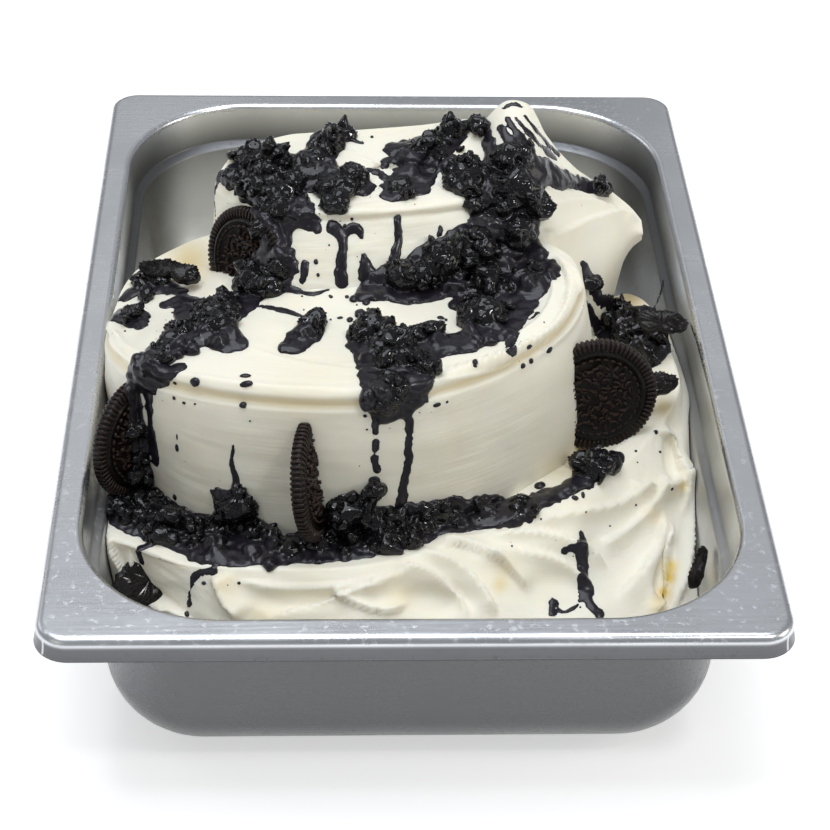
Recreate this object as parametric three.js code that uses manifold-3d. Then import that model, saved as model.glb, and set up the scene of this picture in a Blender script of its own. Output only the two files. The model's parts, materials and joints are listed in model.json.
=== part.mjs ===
// Tub of gelato: a deep steel display pan, tall swept bands of cream gelato piled above its rim,
// dark sauce and biscuit crumbs poured over the bands, and round ribbed biscuits stuck into them.
// Millimetres, +Z up. The origin is the middle of the pan's underside, and +Y points to the back.
import * as THREE from 'three';
import { ConvexGeometry } from 'three/addons/geometries/ConvexGeometry.js';
import { mergeVertices } from 'three/addons/utils/BufferGeometryUtils.js';
import Module from 'manifold-3d';

const wasm = await Module();
wasm.setup();

// ---------- driving dimensions ----------

const PAN = {
  width: 250,
  length: 360,
  depth: 80,
  sheet: 1.0,
  lipDrop: 8.5,
  lipRadius: 3,
  lipFlare: 0.8,
  flange: 9.2,
  rollRadius: 2.5,
  lipCorner: 11.4,
  openingCorner: 52,
  neckDrop: 16,
  neckTaper: 1,
  ledgeStep: 3.6,
  ledgeDrop: 3,
  taper: THREE.MathUtils.degToRad(4.2),
  floorFillet: 31,
  bodyCorner: 46,
  wallFootCorner: 33,
};
const CLEARANCE = 0.4;
const ARC_STEPS = 7;

// The lowest band fills the pan. Each row is a point of its crest (x, y, z) and of its foot (x, y).
const LOWER_BAND = {
  rows: [
    [-110, -98, 57, -108, -98], [-98, -108, 58, -90, -104], [-80, -117, 58, -68, -132],
    [-40, -122, 60, -42, -168], [-4, -118, 61, -4, -172], [30, -100, 61, 44, -172],
    [56, -87, 62, 86, -168], [80, -67, 62, 112, -140], [94, -50, 65, 120, -100],
    [104, -34, 70, 120, -40], [105, -8, 69, 118, -8], [102, 30, 61, 112, 36],
    [90, 60, 46, 102, 92], [40, 92, 44, 46, 150], [-40, 92, 44, -50, 140],
    [-88, 66, 44, -96, 100], [-106, 30, 50, -114, 34], [-111, -40, 54, -116, -40],
  ],
  footZ: 0,
  bulge: 9,
  centre: [0, 0, 52],
  valley: 3,
};

// The middle band: its top edge, which leans back from a wider foot.
const MIDDLE_BAND = {
  rows: [
    [-112, -32, 98, -4, 44], [-107, -54, 105, -6, 44], [-96, -71, 110, -2, 44], [-74, -84, 112, 8, 44],
    [-39, -92, 113, 10, 44], [-10, -92, 114, 10, 44], [16, -83, 114, 10, 44], [42, -65, 114, 10, 44],
    [59, -44, 115, 9, 46], [66, -24, 116, 8, 48], [64, -6, 116, 8, 50], [53, 8, 115, 8, 50],
    [34, 40, 104, 8, 46], [6, 66, 92, 10, 44], [-40, 72, 86, 8, 44], [-78, 62, 82, 6, 44],
    [-99, 38, 87, 4, 44], [-109, 10, 93, 2, 44],
  ],
  bulge: 2,
  bead: 5,
  groove: 1.6,
  centre: [-16, -6, 112],
};

// The back band stands on the middle band.
const BACK_BAND = {
  rows: [
    [-72, 24, 130, 1, 76], [-59, 7, 132, 8, 90], [-40, -6, 134, 20, 106], [-22, -9, 135, 19, 108],
    [2, -6, 135, 17, 108], [26, 2, 134, 17, 108], [46, 18, 130, 14, 100], [50, 40, 132, 14, 90],
    [35, 52, 140, 14, 80], [6, 52, 139, 14, 80], [-24, 48, 138, 12, 80], [-44, 48, 136, 10, 78],
    [-64, 42, 132, 4, 76],
  ],
  bulge: 1,
  bead: 4,
  groove: 0.8,
  centre: [-8, 22, 137],
};

// The folded end of the back band: cross-sections from the left edge to the right shoulder.
// Each row is x, the ridge (y, z), the front foot (y, z), the back foot (y) and the underside (z).
const FOLD = {
  rows: [
    [4, 6, 133, 0, 128, 14, 100], [16, 22, 139, 0, 122, 50, 60], [29, 36, 146, 0, 116, 80, 44],
    [39, 38, 156, -2, 112, 94, 30], [47, 38, 155, -2, 108, 98, 30], [56, 40, 140, 0, 104, 98, 30],
    [68, 43, 124, 6, 94, 94, 34], [80, 46, 114, 16, 82, 84, 38], [89, 45, 107, 26, 72, 72, 44],
    [92.5, 44.5, 104, 32, 86, 62, 76], [96.5, 43, 100, 36, 91, 54, 86],
  ],
  bulge: 6,
};

// The viewer's place and aim, and the focal length, for a picture of 830 by 830 points.
const VIEW = {
  eye: [-29.8, -711.8, 576.7],
  lookDown: THREE.MathUtils.degToRad(37.26),
  lookRight: THREE.MathUtils.degToRad(2.86),
  roll: THREE.MathUtils.degToRad(-1.66),
  focal: 2237,
  middle: 415,
};

// Sauce poured along paths of picture points. Each point is [x, y, half width in mm].
const SAUCE_PATHS = {
  frontStrip: [[126, 522, 6], [165, 530, 8], [215, 553, 9], [300, 552, 7], [385, 537, 9], [450, 518, 8],
    [510, 510, 6], [575, 482, 5], [612, 460, 4]],
  leftSplash: [[290, 278, 6], [245, 300, 8], [205, 325, 9], [165, 350, 8], [142, 372, 6]],
  leftDrip: [[146, 384, 2.4], [152, 425, 2.2], [156, 460, 2.4]],
  leftStroke: [[150, 290, 4], [128, 312, 4.5]],
  patch: [[312, 324, 4.5], [298, 345, 4]],
  poolBack: [[374, 293, 5], [415, 284, 9], [460, 268, 12], [512, 258, 11]],
  poolFront: [[528, 300, 7], [490, 318, 8], [440, 328, 8], [390, 325, 8]],
  cascade: [[392, 335, 9], [388, 365, 10], [390, 395, 9], [398, 412, 6]],
  cascadeDrip: [[408, 415, 2.4], [407, 465, 2.2], [403, 502, 2.4]],
  beadedDrip: [[375, 415, 1.8], [375, 450, 1.8], [374, 482, 1.8]],
  crown: [[232, 176, 5], [262, 170, 8], [310, 176, 10], [352, 184, 7]],
  crownTop: [[330, 135, 6], [318, 158, 8]],
  crownFall: [[280, 205, 8], [286, 232, 5], [282, 258, 4]],
  crownDrip: [[338, 226, 3], [342, 255, 2.4], [342, 282, 2.4]],
  plateau: [[395, 152, 5], [420, 160, 8], [455, 145, 7]],
  peakFall: [[452, 168, 7], [478, 190, 11], [505, 205, 10], [514, 240, 9]],
  peakStripes: [[505, 128, 3], [532, 165, 5], [570, 180, 3.6], [602, 191, 3]],
  rightHeap: [[597, 312, 4], [620, 322, 7], [645, 340, 8], [652, 362, 7]],
  dribble: [[582, 538, 2.6], [583, 565, 2.6], [587, 590, 3.4], [590, 612, 3]],
};
const SAUCE_THICKNESS = 1.8;
const SAUCE_SUNK = 1.6;
// Picture points from one dome of a path to the next: for each mm of width, and at least.
const PATH_SPACING = 1.6;
const PATH_SPACING_MIN = 6;

// Heaps of soaked crumbs: picture point, spread in picture points, how many, and size in mm.
const CRUMB_HEAPS = {
  frontLeft: [150, 515, 22, 5, 5],
  frontMiddle: [225, 530, 28, 5, 5],
  frontCentre: [345, 515, 26, 5, 5],
  frontRight: [590, 468, 14, 3, 5],
  crown: [290, 165, 34, 7, 5.6],
  crownTop: [330, 132, 6, 2, 6],
  crownFall: [255, 205, 16, 3, 4.6],
  splash: [205, 315, 26, 4, 5.2],
  poolLeft: [420, 275, 14, 3, 5.6],
  poolRight: [490, 262, 20, 4, 5.8],
  cascade: [385, 350, 18, 4, 5.2],
  peak: [478, 185, 20, 4, 6],
  peakFoot: [515, 235, 8, 2, 6],
  rightHeap: [635, 335, 22, 5, 5.4],
  backRim: [458, 128, 8, 2, 5.4],
  patch: [308, 328, 4, 1, 4.6],
  leftTop: [150, 290, 10, 2, 4.6],
};

// Whole biscuits: centre, and the direction that the face looks in.
const BISCUIT = { radius: 22.2, thickness: 4.6, edge: 0.9, sides: 24 };
const BISCUITS = {
  biscuit_left: { centre: [-99, -71, 79], faces: [0.84, -0.54, 0.1] },
  biscuit_back: { centre: [-59, -3, 108.5], faces: [-0.74, -0.64, 0.2] },
  biscuit_wall: { centre: [-34.5, -98, 81], faces: [0.96, -0.2, 0.17] },
  biscuit_right: { centre: [71, -48, 80.5], faces: [0.05, -0.97, 0.2] },
};

// Broken biscuit: centre, the direction that the face looks in, the turn in it, and the half sizes.
const SHARD_THICKNESS = 4.4;
const SHARDS = {
  shard_right_high: { centre: [100, -6, 84], faces: [0, -0.5, 0.86], turn: -8, half: [10, 4.5] },
  shard_right_low: { centre: [96, -38, 78], faces: [0.1, -0.6, 0.8], turn: 10, half: [6.5, 4.5] },
  shard_left_high: { centre: [-92, 5, 101], faces: [0, -0.4, 0.9], turn: 0, half: [9, 4] },
  shard_left_low: { centre: [-83, -3, 104], faces: [0.1, -0.4, 0.9], turn: -10, half: [6, 3.5] },
  shard_corner: { centre: [-93, -110, 45], faces: [0.3, -0.6, 0.7], turn: 60, half: [11, 7] },
  shard_front_right: { centre: [103, -113, 52], faces: [-0.7, -0.3, 0.6], turn: 60, half: [6, 4] },
};
const FIT_GAP = 0.35;

const GELATO_SIDES = 54;
const GELATO_COLOUR = 0xf4f1e4;
const STEEL_COLOUR = 0xa9adb0;
const BISCUIT_COLOUR = 0x2b1c18;

// ---------- solids and meshes ----------

// Closed skin through rings of equal length, wound counter-clockwise and listed from the underside up.
// The first and the last ring are each closed by a fan round their middle point.
function loft(rings) {
  const count = rings[0].length;
  const points = rings.flat();
  const faces = [];
  for (let ring = 0; ring + 1 < rings.length; ring += 1) {
    for (let i = 0; i < count; i += 1) {
      const a = ring * count + i;
      const b = ring * count + (i + 1) % count;
      faces.push(a, b, b + count, a, b + count, a + count);
    }
  }
  const lastStart = (rings.length - 1) * count;
  const firstHub = points.push(middle(rings[0])) - 1;
  const lastHub = points.push(middle(rings.at(-1))) - 1;
  for (let i = 0; i < count; i += 1) {
    const next = (i + 1) % count;
    faces.push(firstHub, next, i);
    faces.push(lastHub, lastStart + i, lastStart + next);
  }
  const geometry = new THREE.BufferGeometry().setFromPoints(points);
  geometry.setIndex(faces);
  return geometry;
}

function middle(points) {
  const sum = points.reduce((total, point) => total.add(point), new THREE.Vector3());
  return sum.divideScalar(points.length);
}

function toSolid(geometry) {
  const bare = geometry.clone();
  bare.deleteAttribute('normal');
  bare.deleteAttribute('uv');
  const merged = mergeVertices(bare, 1e-4);
  return new wasm.Manifold(new wasm.Mesh({
    numProp: 3,
    vertProperties: new Float32Array(merged.attributes.position.array),
    triVerts: new Uint32Array(merged.index.array),
  }));
}

function toGeometry(solid) {
  const mesh = solid.getMesh();
  const geometry = new THREE.BufferGeometry();
  geometry.setAttribute('position', new THREE.BufferAttribute(mesh.vertProperties, 3));
  geometry.setIndex(new THREE.BufferAttribute(mesh.triVerts, 1));
  return geometry;
}

function namedMesh(name, geometry, colour, roughness, metalness) {
  const material = new THREE.MeshStandardMaterial({ color: colour, roughness, metalness });
  const mesh = new THREE.Mesh(geometry, material);
  mesh.name = name;
  return mesh;
}

// ---------- pan ----------

// Rounded rectangle at height z, inset from the pan's outer edge.
function panRing(inset, z, corner) {
  const halfX = PAN.width / 2 - inset - corner;
  const halfY = PAN.length / 2 - inset - corner;
  const ring = [];
  for (const [sx, sy, turn] of [[1, 1, 0], [-1, 1, 1], [-1, -1, 2], [1, -1, 3]]) {
    for (let step = 0; step <= ARC_STEPS; step += 1) {
      const angle = (turn + step / ARC_STEPS) * Math.PI / 2;
      const x = sx * halfX + corner * Math.cos(angle);
      const y = sy * halfY + corner * Math.sin(angle);
      ring.push(new THREE.Vector3(x, y, z));
    }
  }
  return ring;
}

// The upper face of the pressed sheet, from the lip's lower edge over the rim and down to the floor.
// Each station is [inset, z, corner radius, direction of the sheet's other face (inset, z)].
function panStations() {
  const top = PAN.depth;
  const stations = [[-PAN.lipFlare, top - PAN.lipDrop, PAN.lipCorner + PAN.lipFlare, 1, 0]];
  for (let step = 0; step <= 3; step += 1) {
    const angle = step / 3 * Math.PI / 2;
    const inset = PAN.lipRadius * (1 - Math.cos(angle));
    const z = top - PAN.lipRadius * (1 - Math.sin(angle));
    stations.push([inset, z, PAN.lipCorner - inset, Math.cos(angle), -Math.sin(angle)]);
  }
  const neckInset = PAN.flange + PAN.rollRadius;
  for (let step = 0; step <= 3; step += 1) {
    const angle = step / 3 * Math.PI / 2;
    const inset = PAN.flange + PAN.rollRadius * Math.sin(angle);
    const z = top - PAN.rollRadius * (1 - Math.cos(angle));
    const corner = PAN.openingCorner - (inset - PAN.flange);
    stations.push([inset, z, corner, -Math.sin(angle), -Math.cos(angle)]);
  }
  const neckFoot = neckInset + PAN.neckTaper;
  const ledgeInset = neckFoot + PAN.ledgeStep;
  const ledgeZ = top - PAN.neckDrop;
  stations.push([neckFoot, ledgeZ, PAN.bodyCorner + PAN.ledgeStep, -1, -0.2]);
  stations.push([ledgeInset, ledgeZ - PAN.ledgeDrop, PAN.bodyCorner, -1, -0.2]);
  const floorTop = PAN.sheet;
  for (let step = 0; step <= 5; step += 1) {
    const angle = PAN.taper + step / 5 * (Math.PI / 2 - PAN.taper);
    const z = floorTop + PAN.floorFillet * (1 - Math.sin(angle));
    const wallHeight = ledgeZ - PAN.ledgeDrop - floorTop - PAN.floorFillet;
    const wallInset = ledgeInset + wallHeight * Math.tan(PAN.taper);
    const inward = PAN.floorFillet * (Math.cos(PAN.taper) - Math.cos(angle));
    const inset = wallInset + inward;
    const corner = PAN.wallFootCorner - inward * 0.85;
    stations.push([inset, z, corner, -Math.cos(angle), -Math.sin(angle)]);
  }
  return stations;
}

function makePan() {
  const stations = panStations();
  const upper = stations.map(([inset, z, corner]) => panRing(inset, z, corner));
  const lower = stations.map(([inset, z, corner, outInset, outZ]) => {
    const length = Math.hypot(outInset, outZ);
    const shift = PAN.sheet * outInset / length;
    return panRing(inset + shift, z + PAN.sheet * outZ / length, Math.max(corner - shift, 1));
  });
  return loft([...lower.reverse(), ...upper]);
}

// The space that the gelato may fill: the pan's inside, and a shaft of the opening's outline above it.
function makeRoom() {
  const inside = panStations().slice(7).reverse();
  const rings = inside.map(([inset, z, corner]) => panRing(inset + CLEARANCE, z + CLEARANCE, corner));
  const [inset, , corner] = inside.at(-1);
  rings.push(panRing(inset + CLEARANCE, PAN.depth * 3, corner));
  return toSolid(loft(rings));
}

// ---------- gelato ----------

function smoothRing(points, sides = GELATO_SIDES) {
  const curve = new THREE.CatmullRomCurve3(points, true, 'centripetal');
  const ring = [];
  for (let i = 0; i < sides; i += 1) ring.push(curve.getPoint(i / sides));
  return ring;
}

function outwardAt(ring, i) {
  const before = ring[(i + ring.length - 1) % ring.length];
  const after = ring[(i + 1) % ring.length];
  return new THREE.Vector3(after.y - before.y, before.x - after.x, 0).normalize();
}

function offsetRing(ring, outward, drop) {
  return ring.map((point, i) => {
    const side = outwardAt(ring, i).multiplyScalar(outward);
    return new THREE.Vector3(point.x + side.x, point.y + side.y, point.z - drop);
  });
}

// Rings from a band's top edge to the middle of its top.
function topRings(edge, centre, valley = 0) {
  const hub = new THREE.Vector3(...centre);
  return [0.12, 0.3, 0.55, 0.8].map((share) => edge.map((point) => {
    const moved = point.clone().lerp(hub, share);
    moved.z -= valley * Math.min(share / 0.3, 1);
    return moved;
  }));
}

function makeLowerBand() {
  const { rows, footZ, bulge, centre, valley } = LOWER_BAND;
  const crest = smoothRing(rows.map(([x, y, z]) => new THREE.Vector3(x, y, z)));
  const foot = smoothRing(rows.map(([, , , x, y]) => new THREE.Vector3(x, y, footZ)));
  const side = [0, 0.35, 0.6, 0.8, 0.93, 1].map((share) => crest.map((point, i) => {
    const moved = foot[i].clone().lerp(point, share);
    const push = bulge * Math.sin(Math.PI * share);
    return moved.addScaledVector(outwardAt(crest, i), push);
  }));
  return toSolid(loft([...side, ...topRings(crest, centre, valley)]));
}

function makeStandingBand({ rows, bulge, bead, groove, centre }) {
  const edge = smoothRing(rows.map(([x, y, z]) => new THREE.Vector3(x, y, z)));
  const feet = smoothRing(rows.map(([x, y, , , footZ]) => new THREE.Vector3(x, y, footZ)));
  const leans = smoothRing(rows.map(([x, y, , lean]) => new THREE.Vector3(x, y, lean)));
  const wall = [0, 0.3, 0.65, 1].map((share) => edge.map((point, i) => {
    const push = leans[i].z * (1 - share) + bulge * Math.sin(Math.PI * share);
    const moved = point.clone().addScaledVector(outwardAt(edge, i), push);
    moved.z = feet[i].z + (point.z - bead - feet[i].z) * share;
    return moved;
  }));
  const lip = [
    offsetRing(edge, -groove, bead * 0.8),
    offsetRing(edge, -groove * 0.4, bead * 0.4),
    offsetRing(edge, -groove - bead * 0.4, 0),
  ];
  return toSolid(loft([...wall, ...lip, ...topRings(lip.at(-1), centre)]));
}

function makeFold() {
  const { rows, bulge } = FOLD;
  const rings = rows.map(([x, ridgeY, ridgeZ, frontY, frontZ, backY, footZ]) => {
    const front = new THREE.QuadraticBezierCurve3(
      new THREE.Vector3(x, frontY, frontZ),
      new THREE.Vector3(x, (frontY * 2 + ridgeY) / 3 - bulge, (frontZ + ridgeZ * 2) / 3),
      new THREE.Vector3(x, ridgeY, ridgeZ),
    );
    const back = new THREE.QuadraticBezierCurve3(
      new THREE.Vector3(x, ridgeY, ridgeZ),
      new THREE.Vector3(x, ridgeY + (backY - ridgeY) * 0.35, (footZ + ridgeZ * 2) / 3),
      new THREE.Vector3(x, backY, footZ),
    );
    const base = new THREE.Vector3(x, frontY, footZ);
    return [base, ...back.getPoints(5).reverse(), ...front.getPoints(6).reverse().slice(1)];
  });
  return toSolid(loft(rings));
}

function makeGelatoCore() {
  const bands = [makeLowerBand(), makeStandingBand(MIDDLE_BAND), makeStandingBand(BACK_BAND), makeFold()];
  return bands.reduce((sum, band) => sum.add(band));
}

// ---------- sauce and crumbs, set by their place in the picture ----------

function makeViewAxes() {
  const turn = new THREE.Matrix4().makeRotationZ(-VIEW.lookRight);
  const forward = new THREE.Vector3(0, Math.cos(VIEW.lookDown), -Math.sin(VIEW.lookDown)).applyMatrix4(turn);
  const level = new THREE.Vector3(1, 0, 0).applyMatrix4(turn);
  const down = forward.clone().cross(level);
  const right = level.clone().multiplyScalar(Math.cos(VIEW.roll)).addScaledVector(down, Math.sin(VIEW.roll));
  return { forward, right, down: forward.clone().cross(right) };
}

const viewAxes = makeViewAxes();
const raycaster = new THREE.Raycaster();

// The point of the core's surface that shows at a picture point, with its outward normal.
function surfaceAt(core, x, y) {
  const direction = viewAxes.forward.clone()
    .addScaledVector(viewAxes.right, (x - VIEW.middle) / VIEW.focal)
    .addScaledVector(viewAxes.down, (y - VIEW.middle) / VIEW.focal)
    .normalize();
  raycaster.set(new THREE.Vector3(...VIEW.eye), direction);
  const hit = raycaster.intersectObject(core)[0];
  return hit ? { point: hit.point, normal: hit.face.normal.clone() } : null;
}

function sideways(normal) {
  const across = new THREE.Vector3(1, 0, 0).addScaledVector(normal, -normal.x).normalize();
  return [across, normal.clone().cross(across)];
}

// A low six-sided dome's corners: its foot sunk in the gelato, its shoulder and its top.
function domePoints({ point, normal }, radius) {
  const [across, along] = sideways(normal);
  const height = SAUCE_THICKNESS + radius * 0.06;
  const points = [point.clone().addScaledVector(normal, height)];
  for (let i = 0; i < 6; i += 1) {
    const angle = i * Math.PI / 3;
    const out = across.clone().multiplyScalar(Math.cos(angle)).addScaledVector(along, Math.sin(angle));
    points.push(point.clone().addScaledVector(out, radius).addScaledVector(normal, -SAUCE_SUNK));
    points.push(point.clone().addScaledVector(out, radius * 0.86).addScaledVector(normal, height * 0.6));
  }
  return points;
}

function samplePath(core, path) {
  const spots = [];
  for (let i = 0; i + 1 < path.length; i += 1) {
    const [fromX, fromY, fromR] = path[i];
    const [toX, toY, toR] = path[i + 1];
    const spacing = PATH_SPACING * (fromR + toR) + PATH_SPACING_MIN;
    const steps = Math.max(1, Math.round(Math.hypot(toX - fromX, toY - fromY) / spacing));
    const last = i + 2 === path.length;
    for (let step = 0; step < steps + (last ? 1 : 0); step += 1) {
      const share = step / steps;
      const spot = surfaceAt(core, fromX + (toX - fromX) * share, fromY + (toY - fromY) * share);
      if (spot) spots.push({ ...spot, radius: fromR + (toR - fromR) * share });
    }
  }
  return spots;
}

function makeSaucePath(core, path) {
  const spots = samplePath(core, path);
  const domes = spots.map((spot) => domePoints(spot, spot.radius));
  return domes.slice(1).map((dome, i) => toSolid(new ConvexGeometry([...domes[i], ...dome])));
}

function makeRandom(seed) {
  let state = seed;
  return () => {
    state = (Math.imul(state, 1664525) + 1013904223) >>> 0;
    return state / 4294967296;
  };
}

function makeCrumbHeap(core, [x, y, spread, count, size], random) {
  const crumbs = [];
  for (let i = 0; i < count; i += 1) {
    const angle = random() * Math.PI * 2;
    const reach = spread * Math.sqrt(random());
    const radius = size * (0.6 + 0.6 * random());
    const spot = surfaceAt(core, x + reach * Math.cos(angle), y + reach * 0.6 * Math.sin(angle));
    const stretch = new THREE.Vector3(0.8 + 0.5 * random(), 0.8 + 0.4 * random(), 0.7 + 0.3 * random());
    const turn = new THREE.Euler(random() * 3, random() * 3, random() * 3);
    if (!spot) continue;
    const crumb = new THREE.IcosahedronGeometry(radius, 0).applyMatrix4(new THREE.Matrix4().compose(
      spot.point.clone().addScaledVector(spot.normal, radius * 0.3),
      new THREE.Quaternion().setFromEuler(turn),
      stretch,
    ));
    crumbs.push(toSolid(crumb));
  }
  return crumbs;
}

// ---------- biscuits ----------

function facing([x, y, z], turn = 0) {
  const aim = new THREE.Quaternion().setFromUnitVectors(
    new THREE.Vector3(0, 0, 1),
    new THREE.Vector3(x, y, z).normalize(),
  );
  const spin = new THREE.Quaternion().setFromAxisAngle(
    new THREE.Vector3(0, 0, 1),
    THREE.MathUtils.degToRad(turn),
  );
  return aim.multiply(spin);
}

function makeDisc({ centre, faces }, outline) {
  const disc = new THREE.LatheGeometry(outline.map(([x, y]) => new THREE.Vector2(x, y)), BISCUIT.sides);
  disc.rotateX(Math.PI / 2);
  disc.applyQuaternion(facing(faces));
  return toSolid(disc.translate(...centre));
}

// A round wafer with eased edges.
function makeBiscuit(place) {
  const { radius, edge } = BISCUIT;
  const half = BISCUIT.thickness / 2;
  return makeDisc(place, [[0, -half], [radius - edge, -half], [radius, edge - half], [radius, half - edge],
    [radius - edge, half], [0, half]]);
}

// The pocket that a wafer leaves in the gelato, a little larger all round.
function makeBiscuitPocket(place) {
  const radius = BISCUIT.radius + FIT_GAP;
  const half = BISCUIT.thickness / 2 + FIT_GAP;
  return makeDisc(place, [[0, -half], [radius, -half], [radius, half], [0, half]]);
}

// A broken piece of wafer, as a seven-cornered plate; grow makes it larger all round, for its pocket.
function makeShard({ centre, faces, turn, half }, grow = 0) {
  const corners = [[1, 0.1], [0.6, 0.85], [-0.1, 1], [-0.8, 0.7], [-1, -0.2], [-0.4, -0.95], [0.7, -0.7]];
  const thickness = SHARD_THICKNESS + grow * 2;
  const outline = new THREE.Shape(corners.map(([x, y]) => (
    new THREE.Vector2(x * (half[0] + grow), y * (half[1] + grow))
  )));
  const plate = new THREE.ExtrudeGeometry(outline, { depth: thickness, bevelEnabled: false, steps: 1 });
  plate.translate(0, 0, -thickness / 2);
  plate.applyQuaternion(facing(faces, turn));
  return toSolid(plate.translate(...centre));
}

// ---------- the tub ----------

function largestBody(solid) {
  return solid.decompose().reduce((best, body) => (body.volume() > best.volume() ? body : best));
}

function makeGelato(room) {
  const coreSolid = makeGelatoCore().intersect(room);
  const core = new THREE.Mesh(toGeometry(coreSolid));
  const random = makeRandom(7);
  const sauce = Object.values(SAUCE_PATHS).flatMap((path) => makeSaucePath(core, path));
  const crumbs = Object.values(CRUMB_HEAPS).flatMap((heap) => makeCrumbHeap(core, heap, random));
  const topped = [...sauce, ...crumbs].reduce((sum, solid) => sum.add(solid), coreSolid);
  const pockets = [
    ...Object.values(BISCUITS).map(makeBiscuitPocket),
    ...Object.values(SHARDS).map((place) => makeShard(place, FIT_GAP)),
  ];
  return largestBody(pockets.reduce((rest, pocket) => rest.subtract(pocket), topped).intersect(room));
}

const tub = new THREE.Group();
tub.add(namedMesh('pan', makePan(), STEEL_COLOUR, 0.3, 1));
tub.add(namedMesh('gelato', toGeometry(makeGelato(makeRoom())), GELATO_COLOUR, 0.5, 0));
for (const [name, place] of Object.entries(BISCUITS)) {
  tub.add(namedMesh(name, toGeometry(makeBiscuit(place)), BISCUIT_COLOUR, 0.8, 0));
}
for (const [name, place] of Object.entries(SHARDS)) {
  tub.add(namedMesh(name, toGeometry(makeShard(place)), BISCUIT_COLOUR, 0.8, 0));
}

export default tub;
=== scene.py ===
"""Dressed model of a tub of gelato: a steel display pan, swept bands of cream gelato, dark sauce with
soaked crumbs, and ribbed biscuits. Sizes are in millimetres until a mesh is made."""

import json
import math
from itertools import product

import bpy
import numpy as np
import openvdb
from bpy.props import FloatProperty, FloatVectorProperty, IntProperty, PointerProperty
from mathutils import Matrix, Vector
from mathutils.bvhtree import BVHTree

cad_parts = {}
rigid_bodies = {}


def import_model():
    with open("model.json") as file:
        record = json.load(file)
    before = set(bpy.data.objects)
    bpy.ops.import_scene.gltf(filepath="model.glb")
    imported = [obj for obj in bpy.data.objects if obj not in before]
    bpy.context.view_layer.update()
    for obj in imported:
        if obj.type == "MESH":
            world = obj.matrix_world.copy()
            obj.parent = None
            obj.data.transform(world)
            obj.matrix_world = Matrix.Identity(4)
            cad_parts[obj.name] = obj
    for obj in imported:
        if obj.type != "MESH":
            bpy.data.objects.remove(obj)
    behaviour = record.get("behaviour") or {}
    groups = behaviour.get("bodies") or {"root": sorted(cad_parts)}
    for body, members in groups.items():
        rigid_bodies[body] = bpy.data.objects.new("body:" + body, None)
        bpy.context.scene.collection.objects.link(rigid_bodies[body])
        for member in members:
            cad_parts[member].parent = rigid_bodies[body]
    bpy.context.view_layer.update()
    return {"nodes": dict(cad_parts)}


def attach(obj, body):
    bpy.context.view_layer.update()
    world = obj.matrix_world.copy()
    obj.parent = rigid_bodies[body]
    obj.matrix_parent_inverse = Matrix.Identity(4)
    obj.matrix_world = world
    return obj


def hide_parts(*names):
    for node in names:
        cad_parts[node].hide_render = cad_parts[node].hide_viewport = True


bl_info = {
    "name": "Tub of gelato",
    "version": (1, 0, 0),
    "blender": (4, 5, 0),
    "location": "3D View > Sidebar > Gelato",
    "description": "Builds a display pan heaped with swept gelato, dark sauce and ribbed biscuits",
    "category": "Add Mesh",
}

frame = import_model()

MM = 0.001

# ---------- the pan's profile ----------

PAN = {
    "width": 250, "length": 360, "depth": 80, "sheet": 1.0, "lip_drop": 8.5, "lip_radius": 3,
    "lip_flare": 0.8, "flange": 9.2, "roll_radius": 2.5, "lip_corner": 11.4, "opening_corner": 52,
    "neck_drop": 16, "neck_taper": 1, "ledge_step": 3.6, "ledge_drop": 3,
    "taper": math.radians(4.2), "floor_fillet": 31, "body_corner": 46, "wall_foot_corner": 33,
}

# ---------- the bands of gelato ----------

# Crest (x, y, z) and foot (x, y) of the band that fills the pan.
LOWER_BAND = {
    "rows": [
        [-110, -98, 57, -108, -98], [-98, -108, 58, -90, -104], [-80, -117, 58, -68, -132],
        [-40, -122, 60, -42, -168], [-4, -118, 61, -4, -172], [30, -100, 61, 44, -172],
        [56, -87, 62, 86, -168], [80, -67, 62, 112, -140], [94, -50, 65, 120, -100],
        [104, -34, 70, 120, -40], [105, -8, 70, 118, -8], [101, 20, 71, 113, 26],
        [95, 44, 63, 107, 56], [84, 66, 46, 98, 94], [40, 92, 44, 46, 150], [-40, 92, 44, -50, 140],
        [-88, 66, 44, -96, 100], [-106, 30, 50, -114, 34], [-111, -40, 54, -116, -40],
    ],
    "bulge": 9, "centre": [0, 0, 52], "valley": 3, "corner": [-104, -108],
}
# Top edge (x, y, z), how far the foot stands out, and the height of the foot.
MIDDLE_BAND = {
    "rows": [
        [-112, -32, 98, -4, 44], [-107, -54, 105, -6, 44], [-96, -71, 110, -2, 44],
        [-74, -84, 112, 8, 44], [-39, -92, 113, 10, 44], [-10, -92, 114, 10, 44],
        [16, -83, 114, 10, 44], [42, -65, 114, 10, 44], [59, -44, 115, 9, 46], [66, -24, 116, 8, 48],
        [64, -6, 116, 8, 50], [53, 8, 115, 8, 50], [34, 40, 104, 8, 46], [6, 66, 92, 10, 44],
        [-40, 72, 86, 8, 44], [-78, 62, 82, 6, 44], [-99, 38, 87, 4, 44], [-109, 10, 93, 2, 44],
    ],
    "bulge": 2, "bead": 6.5, "groove": 1.7, "centre": [-16, -6, 112],
}
BACK_BAND = {
    "rows": [
        [-72, 24, 130, 1, 76], [-59, 7, 132, 8, 90], [-40, -6, 134, 20, 106], [-22, -9, 135, 19, 108],
        [2, -6, 135, 17, 108], [26, 2, 134, 17, 108], [46, 18, 130, 14, 100], [50, 40, 132, 14, 90],
        [35, 52, 140, 14, 80], [6, 52, 139, 14, 80], [-24, 48, 138, 12, 80], [-44, 48, 136, 10, 78],
        [-64, 42, 132, 4, 76],
    ],
    "bulge": 1, "bead": 4, "groove": 0.8, "centre": [-8, 22, 137],
}
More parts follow.
